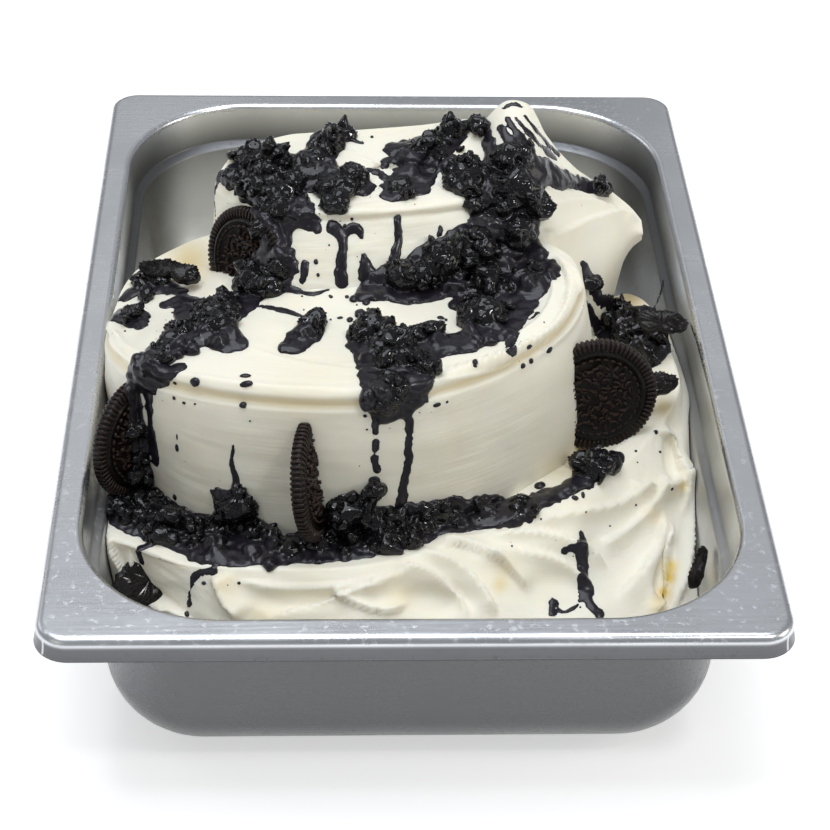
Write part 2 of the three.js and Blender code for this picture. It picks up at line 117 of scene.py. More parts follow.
# Cross-sections of the folded end: x, ridge (y, z), front foot (y, z), back foot (y), underside (z).
FOLD = {
    "rows": [
        [4, 6, 133, 0, 128, 14, 100], [16, 22, 139, 0, 122, 50, 60], [29, 36, 146, 0, 116, 80, 44],
        [39, 38, 156, -2, 112, 94, 30], [47, 38, 155, -2, 108, 98, 30], [56, 40, 140, 0, 104, 98, 30],
        [68, 43, 124, 6, 94, 94, 34], [80, 46, 114, 16, 84, 84, 50], [89, 45, 107, 33, 90, 62, 86],
        [92.5, 44.5, 104, 36, 94, 56, 91], [96.5, 43, 100, 38, 95, 50, 93],
    ],
    "bulge": 6,
}

# ---------- the viewer: places in mm, and picture points in a square picture ----------

VIEW = {
    "eye": [-29.8, -711.8, 576.7], "look_down": math.radians(37.26), "look_right": math.radians(2.86),
    "roll": math.radians(-1.66), "focal": 2237, "picture": 830, "middle": 415, "distance": 900,
}

# ---------- sauce, by picture points: [x, y, half width in mm] ----------

SAUCE_FRONT = {
    "strip": [[126, 520, 6], [165, 530, 9], [215, 548, 10.5], [300, 550, 9], [385, 537, 10.5],
              [450, 520, 9], [510, 511, 7.4], [575, 484, 5], [615, 459, 4]],
    "strip_left": [[128, 508, 5], [170, 512, 5], [205, 530, 5]],
    "strip_middle": [[322, 530, 6], [345, 505, 5], [366, 520, 7], [420, 520, 7]],
    "mound": [[222, 500, 5], [235, 520, 7], [240, 540, 7]],
    "mound_drip": [[234, 505, 3.2], [236, 482, 1.9], [232, 462, 1.0], [233, 446, 0.8]],
    "hook": [[150, 545, 1.6], [138, 550, 1.5], [141, 561, 1.8]],
    "hook_right": [[213, 570, 2], [196, 576, 1.6], [190, 590, 1.2], [189, 603, 1.5]],
    "dribble_body": [[581, 534, 1.6], [584, 548, 3.1], [583, 562, 2.6], [587, 582, 3.2], [588, 600, 2.4],
                     [599, 613, 2.6]],
    "dribble_arm": [[581, 549, 2.4], [571, 548, 1.5], [565, 551, 1.6]],
    "dribble_foot": [[586, 590, 1.6], [575, 607, 1.1], [562, 612, 1.0], [553, 603, 2.3], [552, 613, 2.2]],
}
SAUCE_MIDDLE = {
    "splash": [[279, 280, 6], [250, 298, 8], [222, 318, 10], [195, 335, 10], [165, 352, 8], [145, 370, 7]],
    "splash_lump": [[180, 305, 4], [195, 318, 7], [215, 335, 8], [232, 344, 6]],
    "splash_end": [[140, 360, 5], [135, 378, 4.5], [150, 383, 4.5], [168, 372, 4], [180, 366, 3]],
    "splash_tail": [[285, 288, 2], [312, 294, 1.3], [328, 290, 1.0]],
    "splash_streak": [[262, 306, 1.4], [285, 311, 1.8], [300, 316, 1.0]],
    "splash_root": [[280, 262, 7], [262, 280, 8]],
    "left_drip": [[147, 388, 3], [149, 410, 2.0], [152, 435, 2.2], [155, 462, 2.8]],
    # Sauce laid dark over the left biscuit's face, where it is in shade: partly sauce, partly painted shade.
    "over_left_biscuit": [[134, 400, 3], [138, 424, 4.4], [140, 452, 5], [138, 478, 5]],
    "left_side_drip": [[131, 376, 3], [130, 397, 1.6]],
    "left_band": [[124, 298, 3], [140, 290, 4.4], [160, 288, 5], [178, 292, 3.6]],
    "left_band_low": [[168, 305, 3.2], [182, 300, 4], [200, 304, 3.6]],
    "left_lump": [[122, 316, 5.4], [136, 318, 5.6], [141, 326, 4]],
    "left_stroke": [[145, 302, 1.6], [117, 313, 1.7], [96, 330, 1.5]],
    "left_line": [[146, 268, 1.0], [133, 276, 1.2], [120, 285, 0.9]],
    "patch": [[317, 323, 5], [305, 334, 5.2], [293, 347, 5.2]],
    "pool_back": [[367, 296, 4.4], [382, 290, 8], [408, 287, 10.5], [440, 272, 12], [478, 260, 14],
                  [515, 256, 13]],
    "pool_middle": [[534, 274, 10], [510, 290, 12], [482, 292, 10], [468, 302, 7]],
    "pool_front": [[522, 308, 6], [503, 326, 8], [478, 337, 7], [450, 343, 6.6], [425, 345, 8],
                   [402, 338, 7]],
    "cascade": [[372, 327, 8], [380, 350, 11], [390, 375, 11], [390, 402, 8]],
    "cascade_right": [[415, 352, 8], [420, 370, 6], [408, 390, 8]],
    "cascade_left": [[356, 334, 4], [362, 350, 4], [368, 368, 4]],
    "long_drip": [[408, 408, 2.6], [409, 430, 2.0], [408, 460, 2.0], [403, 485, 2.2], [401, 503, 2.4]],
    "beaded_a": [[375, 412, 1.6], [375, 432, 1.4]],
    "beaded_b": [[375, 443, 1.8], [375, 449, 1.8]],
    "beaded_c": [[374, 458, 1.5], [377, 470, 1.9]],
    "beaded_d": [[374, 480, 2.0], [373, 492, 1.4]],
    "hang": [[516, 334, 1.4], [510, 346, 2.4], [513, 354, 2.2]],
    "hook": [[522, 322, 1.4], [532, 318, 1.0], [538, 313, 1.4]],
    "twig": [[441, 330, 1.6], [441, 318, 1.7]],
    "right_line": [[583, 264, 2], [588, 276, 3], [594, 290, 2.6], [600, 302, 2.2]],
    "right_heap": [[600, 299, 2.2], [615, 307, 4], [630, 322, 8], [643, 341, 9], [650, 358, 7]],
    "right_heap_edge": [[645, 322, 5], [662, 330, 4], [660, 350, 4]],
    "right_streak": [[587, 304, 1.8], [592, 318, 2.4], [602, 334, 3.0], [616, 348, 3.0]],
    "right_twig": [[602, 306, 1.6], [601, 298, 1.4], [600, 289, 1.0]],
}
SAUCE_BACK = {
    "crown": [[222, 176, 4], [240, 172, 6], [262, 168, 9], [290, 172, 10], [318, 178, 11], [345, 184, 8],
              [362, 190, 5]],
    "crown_low": [[258, 190, 7], [280, 200, 8], [298, 208, 6]],
    "crown_top": [[330, 134, 6], [322, 152, 7], [308, 164, 8]],
    "crown_twig": [[338, 136, 2.4], [352, 140, 1.6], [362, 143, 1.0]],
    "crown_arm": [[352, 174, 3], [372, 171, 1.8], [391, 179, 1.8]],
    "crown_fall": [[268, 200, 8], [281, 212, 8.5], [285, 226, 5], [284, 244, 3.2], [285, 260, 3.2]],
    "fall_right": [[296, 210, 6], [308, 218, 4.4], [317, 227, 2.4]],
    "fall_drop": [[291, 262, 1.8], [292, 270, 1.4]],
    "over_back_biscuit": [[261, 217, 2.6], [260, 234, 3.0], [265, 247, 3.0], [254, 264, 3.2],
                          [242, 278, 3.4]],
    "left_line": [[219, 178, 1.6], [215, 192, 1.2], [216, 224, 0.9]],
    "wall_a": [[331, 228, 2.6], [342, 232, 3.2], [357, 228, 2.4], [361, 236, 1.4]],
    "wall_a_run": [[343, 232, 2.8], [342, 255, 2.0], [341, 284, 2.4]],
    "wall_b": [[306, 264, 1.8], [303, 280, 1.4]],
    "wall_c": [[364, 256, 1.0], [366, 268, 2.4], [369, 278, 3.6]],
    "wall_d": [[397, 218, 1.4], [398, 242, 1.7], [394, 262, 3.2], [399, 271, 2.4]],
    "wall_e": [[440, 228, 1.1], [439, 234, 1.3]],
    "plateau": [[396, 150, 5], [415, 149, 7], [440, 147, 7], [460, 143, 5]],
    "plateau_low": [[442, 160, 6], [420, 172, 9], [405, 187, 8], [390, 196, 4]],
    "plateau_hook": [[400, 162, 2.8], [388, 160, 2.4], [384, 167, 1.6]],
    "plateau_arm": [[402, 178, 3], [389, 181, 1.6], [381, 177, 1.1]],
    "rim_twigs": [[438, 133, 3], [450, 128, 4], [460, 134, 3]],
    "peak_left": [[452, 166, 6], [466, 178, 9], [485, 190, 11], [508, 203, 11], [514, 238, 10]],
    "peak_neck": [[488, 230, 9], [522, 222, 7]],
    "peak_front": [[487, 134, 2.6], [491, 150, 4], [503, 166, 8], [524, 178, 9]],
    "peak_stripe_a": [[500, 128, 1.8], [513, 146, 2.6], [530, 160, 3]],
    "peak_stripe_b": [[508, 120, 1.5], [520, 137, 1.8], [534, 151, 1.6]],
    "peak_stripe_c": [[516, 118, 1.1], [530, 134, 1.6], [545, 150, 2.0], [556, 159, 1.6]],
    "peak_stripe_d": [[525, 116, 1.1], [536, 130, 1.4], [547, 143, 1.7], [558, 154, 2.2]],
    "peak_band": [[526, 168, 7], [552, 174, 6], [580, 184, 4], [604, 191, 3]],
    "tip": [[503, 108, 0.9], [512, 104, 1.3], [522, 107, 0.9]],
}

# Smears on the pan's inner wall.
SAUCE_SMEARS = {
    # The corner smear lies dark where the front left corner is in shade: partly sauce, partly painted shade.
    "corner": [[107, 546, 2.0], [111, 556, 3.2], [117, 570, 4.0], [127, 583, 4.0], [139, 598, 3.4]],
    "right_wall": [[663, 281, 1.0], [661, 292, 1.4], [655, 307, 1.0]],
    "right_wall_low": [[690, 323, 0.8], [694, 334, 1.0], [699, 348, 0.8]],
}

# Heaps of soaked crumbs: picture point, spread in picture points, how many, and size in mm.
CRUMBS_FRONT = {
    "left": [138, 512, 22, 30, 3.8], "left_low": [168, 532, 26, 20, 3.4],
    "left_high": [152, 498, 14, 8, 3.0],
    "mound": [234, 512, 15, 22, 3.8], "mound_low": [212, 542, 22, 11, 3.4],
    "mound_top": [240, 492, 7, 5, 3.0],
    "middle": [264, 536, 18, 10, 3.6], "middle_low": [288, 552, 12, 3, 2.8],
    "biscuit_foot": [316, 546, 14, 10, 3.2],
    "beside_biscuit": [348, 512, 22, 40, 3.8], "centre": [398, 530, 34, 44, 3.6],
    "centre_low": [360, 545, 24, 9, 3.2],
    "centre_high": [374, 490, 8, 7, 3.4], "centre_right": [440, 520, 20, 12, 3.2],
    "right": [486, 510, 20, 6, 3.0],
    "right_low": [528, 508, 16, 6, 2.6], "far_right": [594, 467, 16, 22, 4.2],
    "far_end": [616, 460, 8, 5, 3.0],
}
CRUMBS_MIDDLE = {
    "splash": [220, 320, 26, 30, 3.8], "splash_middle": [188, 338, 22, 12, 3.2],
    "splash_low": [160, 356, 18, 6, 2.8],
    "splash_high": [262, 288, 18, 22, 3.8], "left_band": [152, 290, 18, 10, 2.8],
    "left_lump": [132, 319, 10, 6, 3.2],
    # The left_biscuit heaps darken the left biscuit's face in shade: partly crumbs, partly painted shade.
    "patch": [317, 323, 9, 9, 3.0], "left_biscuit": [138, 430, 10, 16, 2.2],
    "left_biscuit_mid": [140, 458, 9, 12, 2.4], "left_biscuit_low": [138, 476, 9, 8, 2.8],
    "pool_left": [406, 276, 18, 20, 4.2], "pool_back": [440, 262, 18, 18, 4.2],
    "pool_right": [474, 252, 18, 16, 4.4],
    "pool_far": [512, 248, 18, 7, 3.6], "pool_middle": [486, 286, 22, 14, 4.0],
    "pool_edge": [528, 280, 14, 8, 3.0],
    "pool_chunk": [478, 318, 18, 20, 4.6], "pool_gap": [422, 334, 14, 8, 3.4],
    "pool_front": [505, 312, 14, 6, 2.8],
    "cascade_top": [372, 334, 20, 18, 3.8], "cascade": [398, 356, 24, 34, 3.8],
    "cascade_side": [420, 366, 12, 12, 3.2],
    "cascade_low": [388, 392, 18, 24, 3.0], "right_heap": [630, 328, 22, 28, 4.0],
    "right_line": [590, 282, 6, 9, 2.6],
    "right_heap_low": [648, 356, 14, 16, 3.6], "right_root": [620, 315, 10, 12, 3.4],
    "right_end": [656, 344, 10, 8, 3.2],
}
CRUMBS_BACK = {
    "crown_left": [262, 166, 22, 28, 4.0], "crown_end": [234, 179, 12, 12, 3.0],
    "crown": [306, 184, 28, 18, 3.8],
    "crown_right": [346, 186, 20, 18, 3.8], "crown_low": [262, 192, 18, 16, 3.4],
    "crown_lumps": [336, 206, 10, 8, 3.4],
    "crown_top": [334, 140, 13, 18, 3.8], "crown_neck": [318, 158, 11, 10, 3.4],
    "fall": [276, 210, 14, 10, 3.0],
    "biscuit_side": [260, 230, 5, 6, 2.6], "biscuit_low": [250, 268, 10, 10, 3.0],
    "fall_foot": [276, 272, 12, 9, 3.0],
    "plateau": [440, 150, 22, 12, 3.4], "plateau_low": [398, 192, 14, 8, 2.8],
    "rim_left": [456, 131, 13, 18, 3.4],
    "rim_right": [485, 127, 7, 7, 3.2], "peak": [468, 184, 20, 26, 4.4],
    "peak_right": [514, 192, 20, 26, 4.4],
    "peak_low": [495, 208, 24, 16, 4.2], "peak_front": [512, 158, 15, 16, 3.8],
    "peak_foot": [512, 238, 14, 10, 5.0],
    "peak_side": [532, 208, 12, 12, 3.6], "shoulder": [600, 188, 9, 8, 2.8],
}

# Lumps that the sauce covers, in the same form as the heaps.
COVERED_FRONT = [
    [222, 550, 20, 7, 2.9], [262, 553, 26, 8, 2.9], [298, 548, 18, 4, 2.6], [380, 545, 28, 9, 2.8],
    [430, 528, 22, 7, 2.8], [475, 516, 24, 5, 2.6], [160, 530, 22, 9, 2.8], [530, 503, 16, 2, 2.2],
]
COVERED_MIDDLE = [
    [505, 262, 16, 12, 3.1], [525, 285, 14, 10, 2.8], [450, 286, 20, 9, 2.6], [430, 338, 14, 7, 2.5],
    [485, 335, 20, 8, 2.5], [385, 355, 20, 14, 3.1], [378, 395, 14, 12, 3.0], [215, 335, 20, 11, 2.8],
    [180, 348, 16, 8, 2.6], [150, 368, 14, 8, 2.6], [306, 334, 9, 5, 2.5], [634, 335, 14, 9, 2.7],
]
COVERED_BACK = [
    [316, 172, 20, 16, 3.3], [332, 186, 14, 9, 3.0], [285, 206, 18, 10, 2.9], [505, 226, 18, 13, 3.3],
    [490, 190, 16, 10, 3.2], [420, 165, 18, 9, 2.5], [458, 175, 12, 8, 2.8], [265, 175, 16, 10, 3.0],
]

# Loose drops: [x, y, half width, half height] in picture points.
DROPS = [
    [195, 382, 5, 4.4], [245, 376, 5, 1.8], [246, 384, 6.5, 3], [243, 405, 3.4, 2.8], [174, 398, 1.8, 1.6],
    [184, 403, 1.7, 1.4], [195, 404, 1.2, 1], [164, 381, 1.6, 1.6], [175, 383, 2, 1.2], [177, 448, 2, 3.6],
    [177, 437, 0.9, 3], [175, 497, 2.6, 2.8], [250, 421, 0.9, 0.8], [347, 297, 2, 1.6], [354, 299, 5, 3.6],
    [366, 303, 4, 2.6], [360, 314, 5.5, 4.4], [330, 296, 1.4, 1.2], [350, 320, 3, 2.4], [340, 318, 3, 1.2],
    [475, 362, 2.8, 2.4], [475, 366, 2.4, 1.4], [523, 366, 3, 2.4], [531, 361, 2.8, 2.6],
    [549, 350, 4.4, 2.6],
    [529, 347, 3, 2], [425, 401, 3.6, 1.4], [437, 405, 4, 2], [447, 402, 1.4, 1.2], [431, 381, 3.4, 1.2],
    [365, 416, 1.8, 1.4], [376, 447, 1, 1], [446, 320, 1.6, 1.4], [308, 227, 3.2, 2.8],
    [316, 262, 2.2, 2.8],
    [352, 219, 1.6, 1.4], [360, 262, 0.9, 1.2], [440, 232, 1.8, 3.4], [345, 226, 2, 2],
    [204, 583, 2.2, 1.8],
    [137, 573, 1.8, 1.6], [187, 614, 2.4, 2.6], [239, 583, 1.6, 1.4], [540, 486, 5.4, 3],
    [575, 498, 3.4, 2.2],
    [583, 495, 2, 3], [660, 452, 1.6, 1.2], [636, 451, 1.4, 1], [656, 432, 2.4, 2.4], [636, 505, 1.2, 1],
    [610, 526, 1, 0.8], [672, 489, 1.6, 1.4], [512, 546, 1, 0.9], [541, 519, 1, 0.9], [586, 512, 1, 0.9],
    [460, 515, 3, 2.4], [302, 127, 1.2, 1.2], [372, 137, 1.6, 1.4], [331, 297, 1.8, 1.4],
    [318, 275, 1.6, 2],
]

# Whole biscuits and broken pieces: the same places as the CAD nodes.
BISCUIT = {"thickness": 4.6, "ribs": 72}
BISCUITS = {
    "biscuit_left": {"centre": [-99, -71, 79], "faces": [0.84, -0.54, 0.1]},
    "biscuit_back": {"centre": [-59, -3, 108.5], "faces": [-0.74, -0.64, 0.2]},
    "biscuit_wall": {"centre": [-34.5, -98, 81], "faces": [0.96, -0.2, 0.17]},
    "biscuit_right": {"centre": [71, -48, 80.5], "faces": [0.05, -0.97, 0.2]},
}
SHARD_THICKNESS = 3.6
SHARDS = {
    "shard_right_high": {"centre": [100, -6, 84], "faces": [0, -0.5, 0.86], "turn": -8, "half": [10, 4.5]},
    "shard_right_low": {"centre": [96, -38, 78], "faces": [0.1, -0.6, 0.8], "turn": 10, "half": [6.5, 4.5]},
    "shard_left_high": {"centre": [-92, 5, 101], "faces": [0, -0.4, 0.9], "turn": 0, "half": [9, 4]},
    "shard_left_low": {"centre": [-83, -3, 104], "faces": [0.1, -0.4, 0.9], "turn": -10, "half": [6, 3.5]},
    "shard_corner": {"centre": [-93, -110, 45], "faces": [0.3, -0.6, 0.7], "turn": 60, "half": [15, 10]},
    "shard_front_right": {"centre": [103, -113, 52], "faces": [-0.7, -0.3, 0.6], "turn": 50,
                          "half": [7.5, 2.4]},
}

# ---------- meshes ----------


def array(values):
    return np.asarray(values, float)


def unit(vectors):
    """Vectors of length 1."""
    length = np.linalg.norm(vectors, axis=-1, keepdims=True)
    return vectors / np.maximum(length, 1e-9)


def build_mesh(name, points, quads=(), tris=(), uv=None, masks=None):
    """Mesh object from points in mm. uv has one pair a corner, quads first. masks have a value a point."""
    quads = np.asarray(quads, np.int32).reshape(-1, 4)
    tris = np.asarray(tris, np.int32).reshape(-1, 3)
    corners = np.concatenate([quads.ravel(), tris.ravel()])
    sizes = np.concatenate([np.full(len(quads), 4), np.full(len(tris), 3)])
    mesh = bpy.data.meshes.new(name)
    mesh.vertices.add(len(points))
    mesh.vertices.foreach_set("co", (array(points) * MM).astype(np.float32).ravel())
    mesh.loops.add(len(corners))
    mesh.loops.foreach_set("vertex_index", corners.astype(np.int32))
    mesh.polygons.add(len(sizes))
    mesh.polygons.foreach_set("loop_start", np.concatenate([[0], np.cumsum(sizes)[:-1]]).astype(np.int32))
    mesh.polygons.foreach_set("use_smooth", np.ones(len(sizes), bool))
    if uv is not None:
        layer = mesh.uv_layers.new(name="UVMap")
        layer.data.foreach_set("uv", np.asarray(uv, np.float32).ravel())
    for mask, values in (masks or {}).items():
        attribute = mesh.attributes.new(mask, "FLOAT", "POINT")
        attribute.data.foreach_set("value", np.asarray(values, np.float32))
    mesh.update()
    mesh.validate()
    thing = bpy.data.objects.new(name, mesh)
    bpy.context.scene.collection.objects.link(thing)
    return thing


def mesh_points(mesh):
    """The mesh's points in mm."""
    place = np.zeros(len(mesh.vertices) * 3, np.float32)
    mesh.vertices.foreach_get("co", place)
    return place.reshape(-1, 3) / MM


def skin_faces(rings, sides):
    """Quads between closed rings, and the fans that close the first and the last ring."""
    ring, side = np.meshgrid(np.arange(rings - 1), np.arange(sides), indexing="ij")
    a = ring * sides + side
    b = ring * sides + (side + 1) % sides
    quads = np.stack([a, b, b + sides, a + sides], -1).reshape(-1, 4)
    i = np.arange(sides)
    after = (i + 1) % sides
    first_hub = np.full(sides, rings * sides)
    last = (rings - 1) * sides
    low = np.stack([first_hub, after, i], -1)
    high = np.stack([first_hub + 1, last + i, last + after], -1)
    return quads, np.concatenate([low, high])


def skin_uv(grid):
    """Corner UVs for skin_faces: along the ring and across the rings, in tenths of a metre."""
    wrapped = np.concatenate([grid, grid[:, :1]], 1)
    along = np.linalg.norm(np.diff(wrapped, axis=1), axis=2)
    along = np.concatenate([np.zeros((len(grid), 1)), np.cumsum(along, 1)], 1)
    along = np.repeat(along.max(0, keepdims=True), len(grid), 0)
    across = np.linalg.norm(np.diff(wrapped, axis=0), axis=2)
    across = np.concatenate([np.zeros((1, wrapped.shape[1])), np.cumsum(across, 0)], 0)
    uv = np.stack([along, across], -1) / 100
    corners = np.stack([uv[:-1, :-1], uv[:-1, 1:], uv[1:, 1:], uv[1:, :-1]], 2).reshape(-1, 2)
    fans = np.zeros((grid.shape[1] * 6, 2))
    return np.concatenate([corners, fans])


def skin(name, grid, masks=None):
    """Closed skin through rings, given as an array of rings, points and x, y, z."""
    rings, sides = grid.shape[:2]
    quads, tris = skin_faces(rings, sides)
    points = np.concatenate([grid.reshape(-1, 3), grid[:1].mean(1), grid[-1:].mean(1)])
    padded = {mask: np.concatenate([v.ravel(), v[0, :1], v[-1, :1]]) for mask, v in (masks or {}).items()}
    return build_mesh(name, points, quads, tris, skin_uv(grid), padded)


def join(name, things):
    """One object from several, with their meshes' places kept."""
    bpy.ops.object.select_all(action="DESELECT")
    for thing in things:
        thing.select_set(True)
    bpy.context.view_layer.objects.active = things[0]
    if len(things) > 1:
        bpy.ops.object.join()
    things[0].name = name
    things[0].data.name = name
    return things[0]


def finish_piece(thing, material, node):
    """Gives a finished piece its material, and its place in the frame."""
    thing.data.materials.clear()
    thing.data.materials.append(material)
    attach(thing, "root")
    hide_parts(node)


# ---------- noise ----------


def soft_noise(points, size, seed):
    """Smooth noise from -1 to 1 at points (..., 3), with features of about the given size in mm."""
    table = np.random.default_rng(seed).uniform(-1, 1, (32, 32, 32)).astype(np.float32)
    place = points / size
    cell = np.floor(place).astype(np.int32)
    part = (place - cell).astype(np.float32)
    part = part * part * (3 - 2 * part)
    total = 0
    for corner in product((0, 1), repeat=3):
        share = 1
        for axis, step in enumerate(corner):
            share = share * (part[..., axis] if step else 1 - part[..., axis])
        index = [(cell[..., axis] + step) % 32 for axis, step in enumerate(corner)]
        total = total + share * table[index[0], index[1], index[2]]
    return total


def swept_noise(turn, across, repeats, size, seed):
    """Noise drawn out along a ring: turn goes from 0 to 1 round it, and across is in mm."""
    angle = turn * 2 * math.pi
    place = np.stack([np.cos(angle) * repeats + 7, np.sin(angle) * repeats + 11, across / size], -1)
    return soft_noise(place, 1.0, seed)


def smooth_step(low, high, values):
    """0 below low, 1 above high, and an eased rise between them."""
    share = np.clip((values - low) / (high - low), 0, 1)
    return share * share * (3 - 2 * share)


# ---------- rings, curves and the pan's wall ----------


def ring_curve(points, sides):
    """Closed centripetal Catmull-Rom curve through points, with sides points."""
    points = array(points)
    count = len(points)
    place = np.arange(sides) / sides * count
    index = np.floor(place).astype(int)
    t = (place - index)[:, None]
    p0, p1, p2, p3 = (points[(index + k) % count] for k in (-1, 0, 1, 2))
    return spline_piece(p0, p1, p2, p3, t)


def open_curve(points, steps):
    """Centripetal Catmull-Rom curve through points, from the first to the last."""
    points = array(points)
    points = np.concatenate([2 * points[:1] - points[1:2], points, 2 * points[-1:] - points[-2:-1]])
    place = np.linspace(0, len(points) - 3, steps)
    index = np.minimum(np.floor(place).astype(int), len(points) - 4)
    t = (place - index)[:, None]
    p0, p1, p2, p3 = (points[index + k] for k in (0, 1, 2, 3))
    return spline_piece(p0, p1, p2, p3, t)


def spline_piece(p0, p1, p2, p3, t):
    """Points at the shares t between p1 and p2 of a centripetal curve."""
    d0, d1, d2 = (
        np.sqrt(np.linalg.norm(b - a, axis=1, keepdims=True)) for a, b in ((p0, p1), (p1, p2), (p2, p3))
    )
    d1 = np.where(d1 < 1e-4, 1, d1)
    d0 = np.where(d0 < 1e-4, d1, d0)
    d2 = np.where(d2 < 1e-4, d1, d2)
    m1 = ((p1 - p0) / d0 - (p2 - p0) / (d0 + d1) + (p2 - p1) / d1) * d1
    m2 = ((p2 - p1) / d1 - (p3 - p1) / (d1 + d2) + (p3 - p2) / d2) * d1
    square, cube = t * t, t * t * t
    return (
        p1 * (2 * cube - 3 * square + 1) + m1 * (cube - 2 * square + t)
        + p2 * (3 * square - 2 * cube) + m2 * (cube - square)
    )


def outward(ring):
    """Level directions that point out of a ring."""
    along = np.roll(ring, -1, 0) - np.roll(ring, 1, 0)
    side = np.stack([along[:, 1], -along[:, 0], np.zeros(len(ring))], 1)
    return unit(side)


def grid_normals(grid):
    """Directions that point out of a skin's grid."""
    along = np.roll(grid, -1, 1) - np.roll(grid, 1, 1)
    across = np.gradient(grid, axis=0)
    return unit(np.cross(along, across))


def pan_ring(inset, z, corner, steps):
    """Rounded rectangle at height z, inset from the pan's outer edge."""
    half_x = PAN["width"] / 2 - inset - corner
    half_y = PAN["length"] / 2 - inset - corner
    ring = []
    for sx, sy, turn in ((1, 1, 0), (-1, 1, 1), (-1, -1, 2), (1, -1, 3)):
        for step in range(steps + 1):
            angle = (turn + step / steps) * math.pi / 2
            ring.append([sx * half_x + corner * math.cos(angle), sy * half_y + corner * math.sin(angle), z])
    return ring


def pan_stations(fine):
    """Upper face of the sheet: [inset, z, corner radius, direction of the other face (inset, z)]."""
    top = PAN["depth"]
    stations = []
    for step in range(fine + 1):
        share = step / fine
        drop = PAN["lip_drop"] + (PAN["lip_radius"] + 0.3 - PAN["lip_drop"]) * share
        flare = PAN["lip_flare"] * (1 - share) ** 2
        stations.append([-flare, top - drop, PAN["lip_corner"] + flare, 1, 0])
    for step in range(fine + 1):
        angle = step / fine * math.pi / 2
        inset = PAN["lip_radius"] * (1 - math.cos(angle))
        z = top - PAN["lip_radius"] * (1 - math.sin(angle))
        stations.append([inset, z, PAN["lip_corner"] - inset, math.cos(angle), -math.sin(angle)])
    stations.append([PAN["lip_radius"] + 0.5, top, PAN["lip_corner"] - PAN["lip_radius"], 0, -1])
    stations.append([PAN["flange"] - 0.5, top, PAN["opening_corner"], 0, -1])
    for step in range(fine + 1):
        angle = step / fine * math.pi / 2
        inset = PAN["flange"] + PAN["roll_radius"] * math.sin(angle)
        z = top - PAN["roll_radius"] * (1 - math.cos(angle))
        corner = PAN["opening_corner"] - (inset - PAN["flange"])
        stations.append([inset, z, corner, -math.sin(angle), -math.cos(angle)])
    neck_foot = PAN["flange"] + PAN["roll_radius"] + PAN["neck_taper"]
    ledge_inset = neck_foot + PAN["ledge_step"]
    ledge_z = top - PAN["neck_drop"]
    for step in range(fine + 1):
        share = step / fine
        ease = share * share * (3 - 2 * share)
        inset = neck_foot + PAN["ledge_step"] * ease
        z = ledge_z - PAN["ledge_drop"] * share
        stations.append([inset, z, PAN["body_corner"] + PAN["ledge_step"] * (1 - ease), -1, -0.2])
    low = ledge_z - PAN["ledge_drop"]
    wall_height = low - PAN["sheet"] - PAN["floor_fillet"]
    wall_inset = ledge_inset + wall_height * math.tan(PAN["taper"])
    for step in range(fine * 2 + 1):
        angle = PAN["taper"] + step / (fine * 2) * (math.pi / 2 - PAN["taper"])
        z = PAN["sheet"] + PAN["floor_fillet"] * (1 - math.sin(angle))
        inward = PAN["floor_fillet"] * (math.cos(PAN["taper"]) - math.cos(angle))
        corner = PAN["wall_foot_corner"] - inward * 0.85
        stations.append([wall_inset + inward, z, corner, -math.cos(angle), -math.sin(angle)])
    return stations


def keep_in_pan(points, gap=0.5):
    """Moves points (..., 3) below the rim to inside the pan's wall and above its floor."""
    inner = array([s[:3] for s in pan_stations(6) if s[1] < PAN["depth"] - 2.4 and s[0] > PAN["flange"]])
    inner = inner[np.argsort(inner[:, 1])]
    z = np.clip(points[..., 2], inner[0, 1], inner[-1, 1])
    inset = np.interp(z, inner[:, 1], inner[:, 0]) + gap
    corner = np.interp(z, inner[:, 1], inner[:, 2])
    moved = points.copy()
    half = np.stack([PAN["width"] / 2 - inset - corner, PAN["length"] / 2 - inset - corner], -1)
    beyond = np.abs(points[..., :2]) - half
    out = np.maximum(beyond, 0)
    reach = np.linalg.norm(out, axis=-1)
    pull = np.minimum(1, corner / np.maximum(reach, 1e-6))[..., None]
    fitted = np.where(beyond > 0, half + out * pull, np.abs(points[..., :2]))
    moved[..., :2] = np.sign(points[..., :2]) * fitted
    moved[..., 2] = np.maximum(moved[..., 2], PAN["sheet"] + gap)
    return moved


def press_to_wall(thing):
    """Presses what would reach through the pan's wall against it, 0.4 mm into the sheet."""
    points = mesh_points(thing.data)
    low = points[:, 2] < PAN["depth"] - 4
    points[low] = keep_in_pan(points[low], -0.4)
    thing.data.vertices.foreach_set("co", (points * MM).astype(np.float32).ravel())
    thing.data.update()
    return thing


# ---------- the viewer ----------


def view_axes():
    """Rows that point right, down and forward in the picture."""
    p, y, r = VIEW["look_down"], -VIEW["look_right"], VIEW["roll"]
    tilt = array([[1, 0, 0], [0, -math.sin(p), -math.cos(p)], [0, math.cos(p), -math.sin(p)]])
    turn = array([[math.cos(y), math.sin(y), 0], [-math.sin(y), math.cos(y), 0], [0, 0, 1]])
    roll = array([[math.cos(r), math.sin(r), 0], [-math.sin(r), math.cos(r), 0], [0, 0, 1]])
    return roll @ tilt @ turn


AXES = view_axes()
EYE = array(VIEW["eye"])


def view_ray(x, y):
    """Direction from the eye to a picture point."""
    offset = array([(x - VIEW["middle"]) / VIEW["focal"], (y - VIEW["middle"]) / VIEW["focal"], 1])
    return Vector(unit(offset @ AXES))


def to_picture(points):
    """Picture coordinates of points (..., 3) in mm."""
    seen = (points - EYE) @ AXES.T
    return seen[..., :2] / seen[..., 2:3] * VIEW["focal"] + VIEW["middle"]


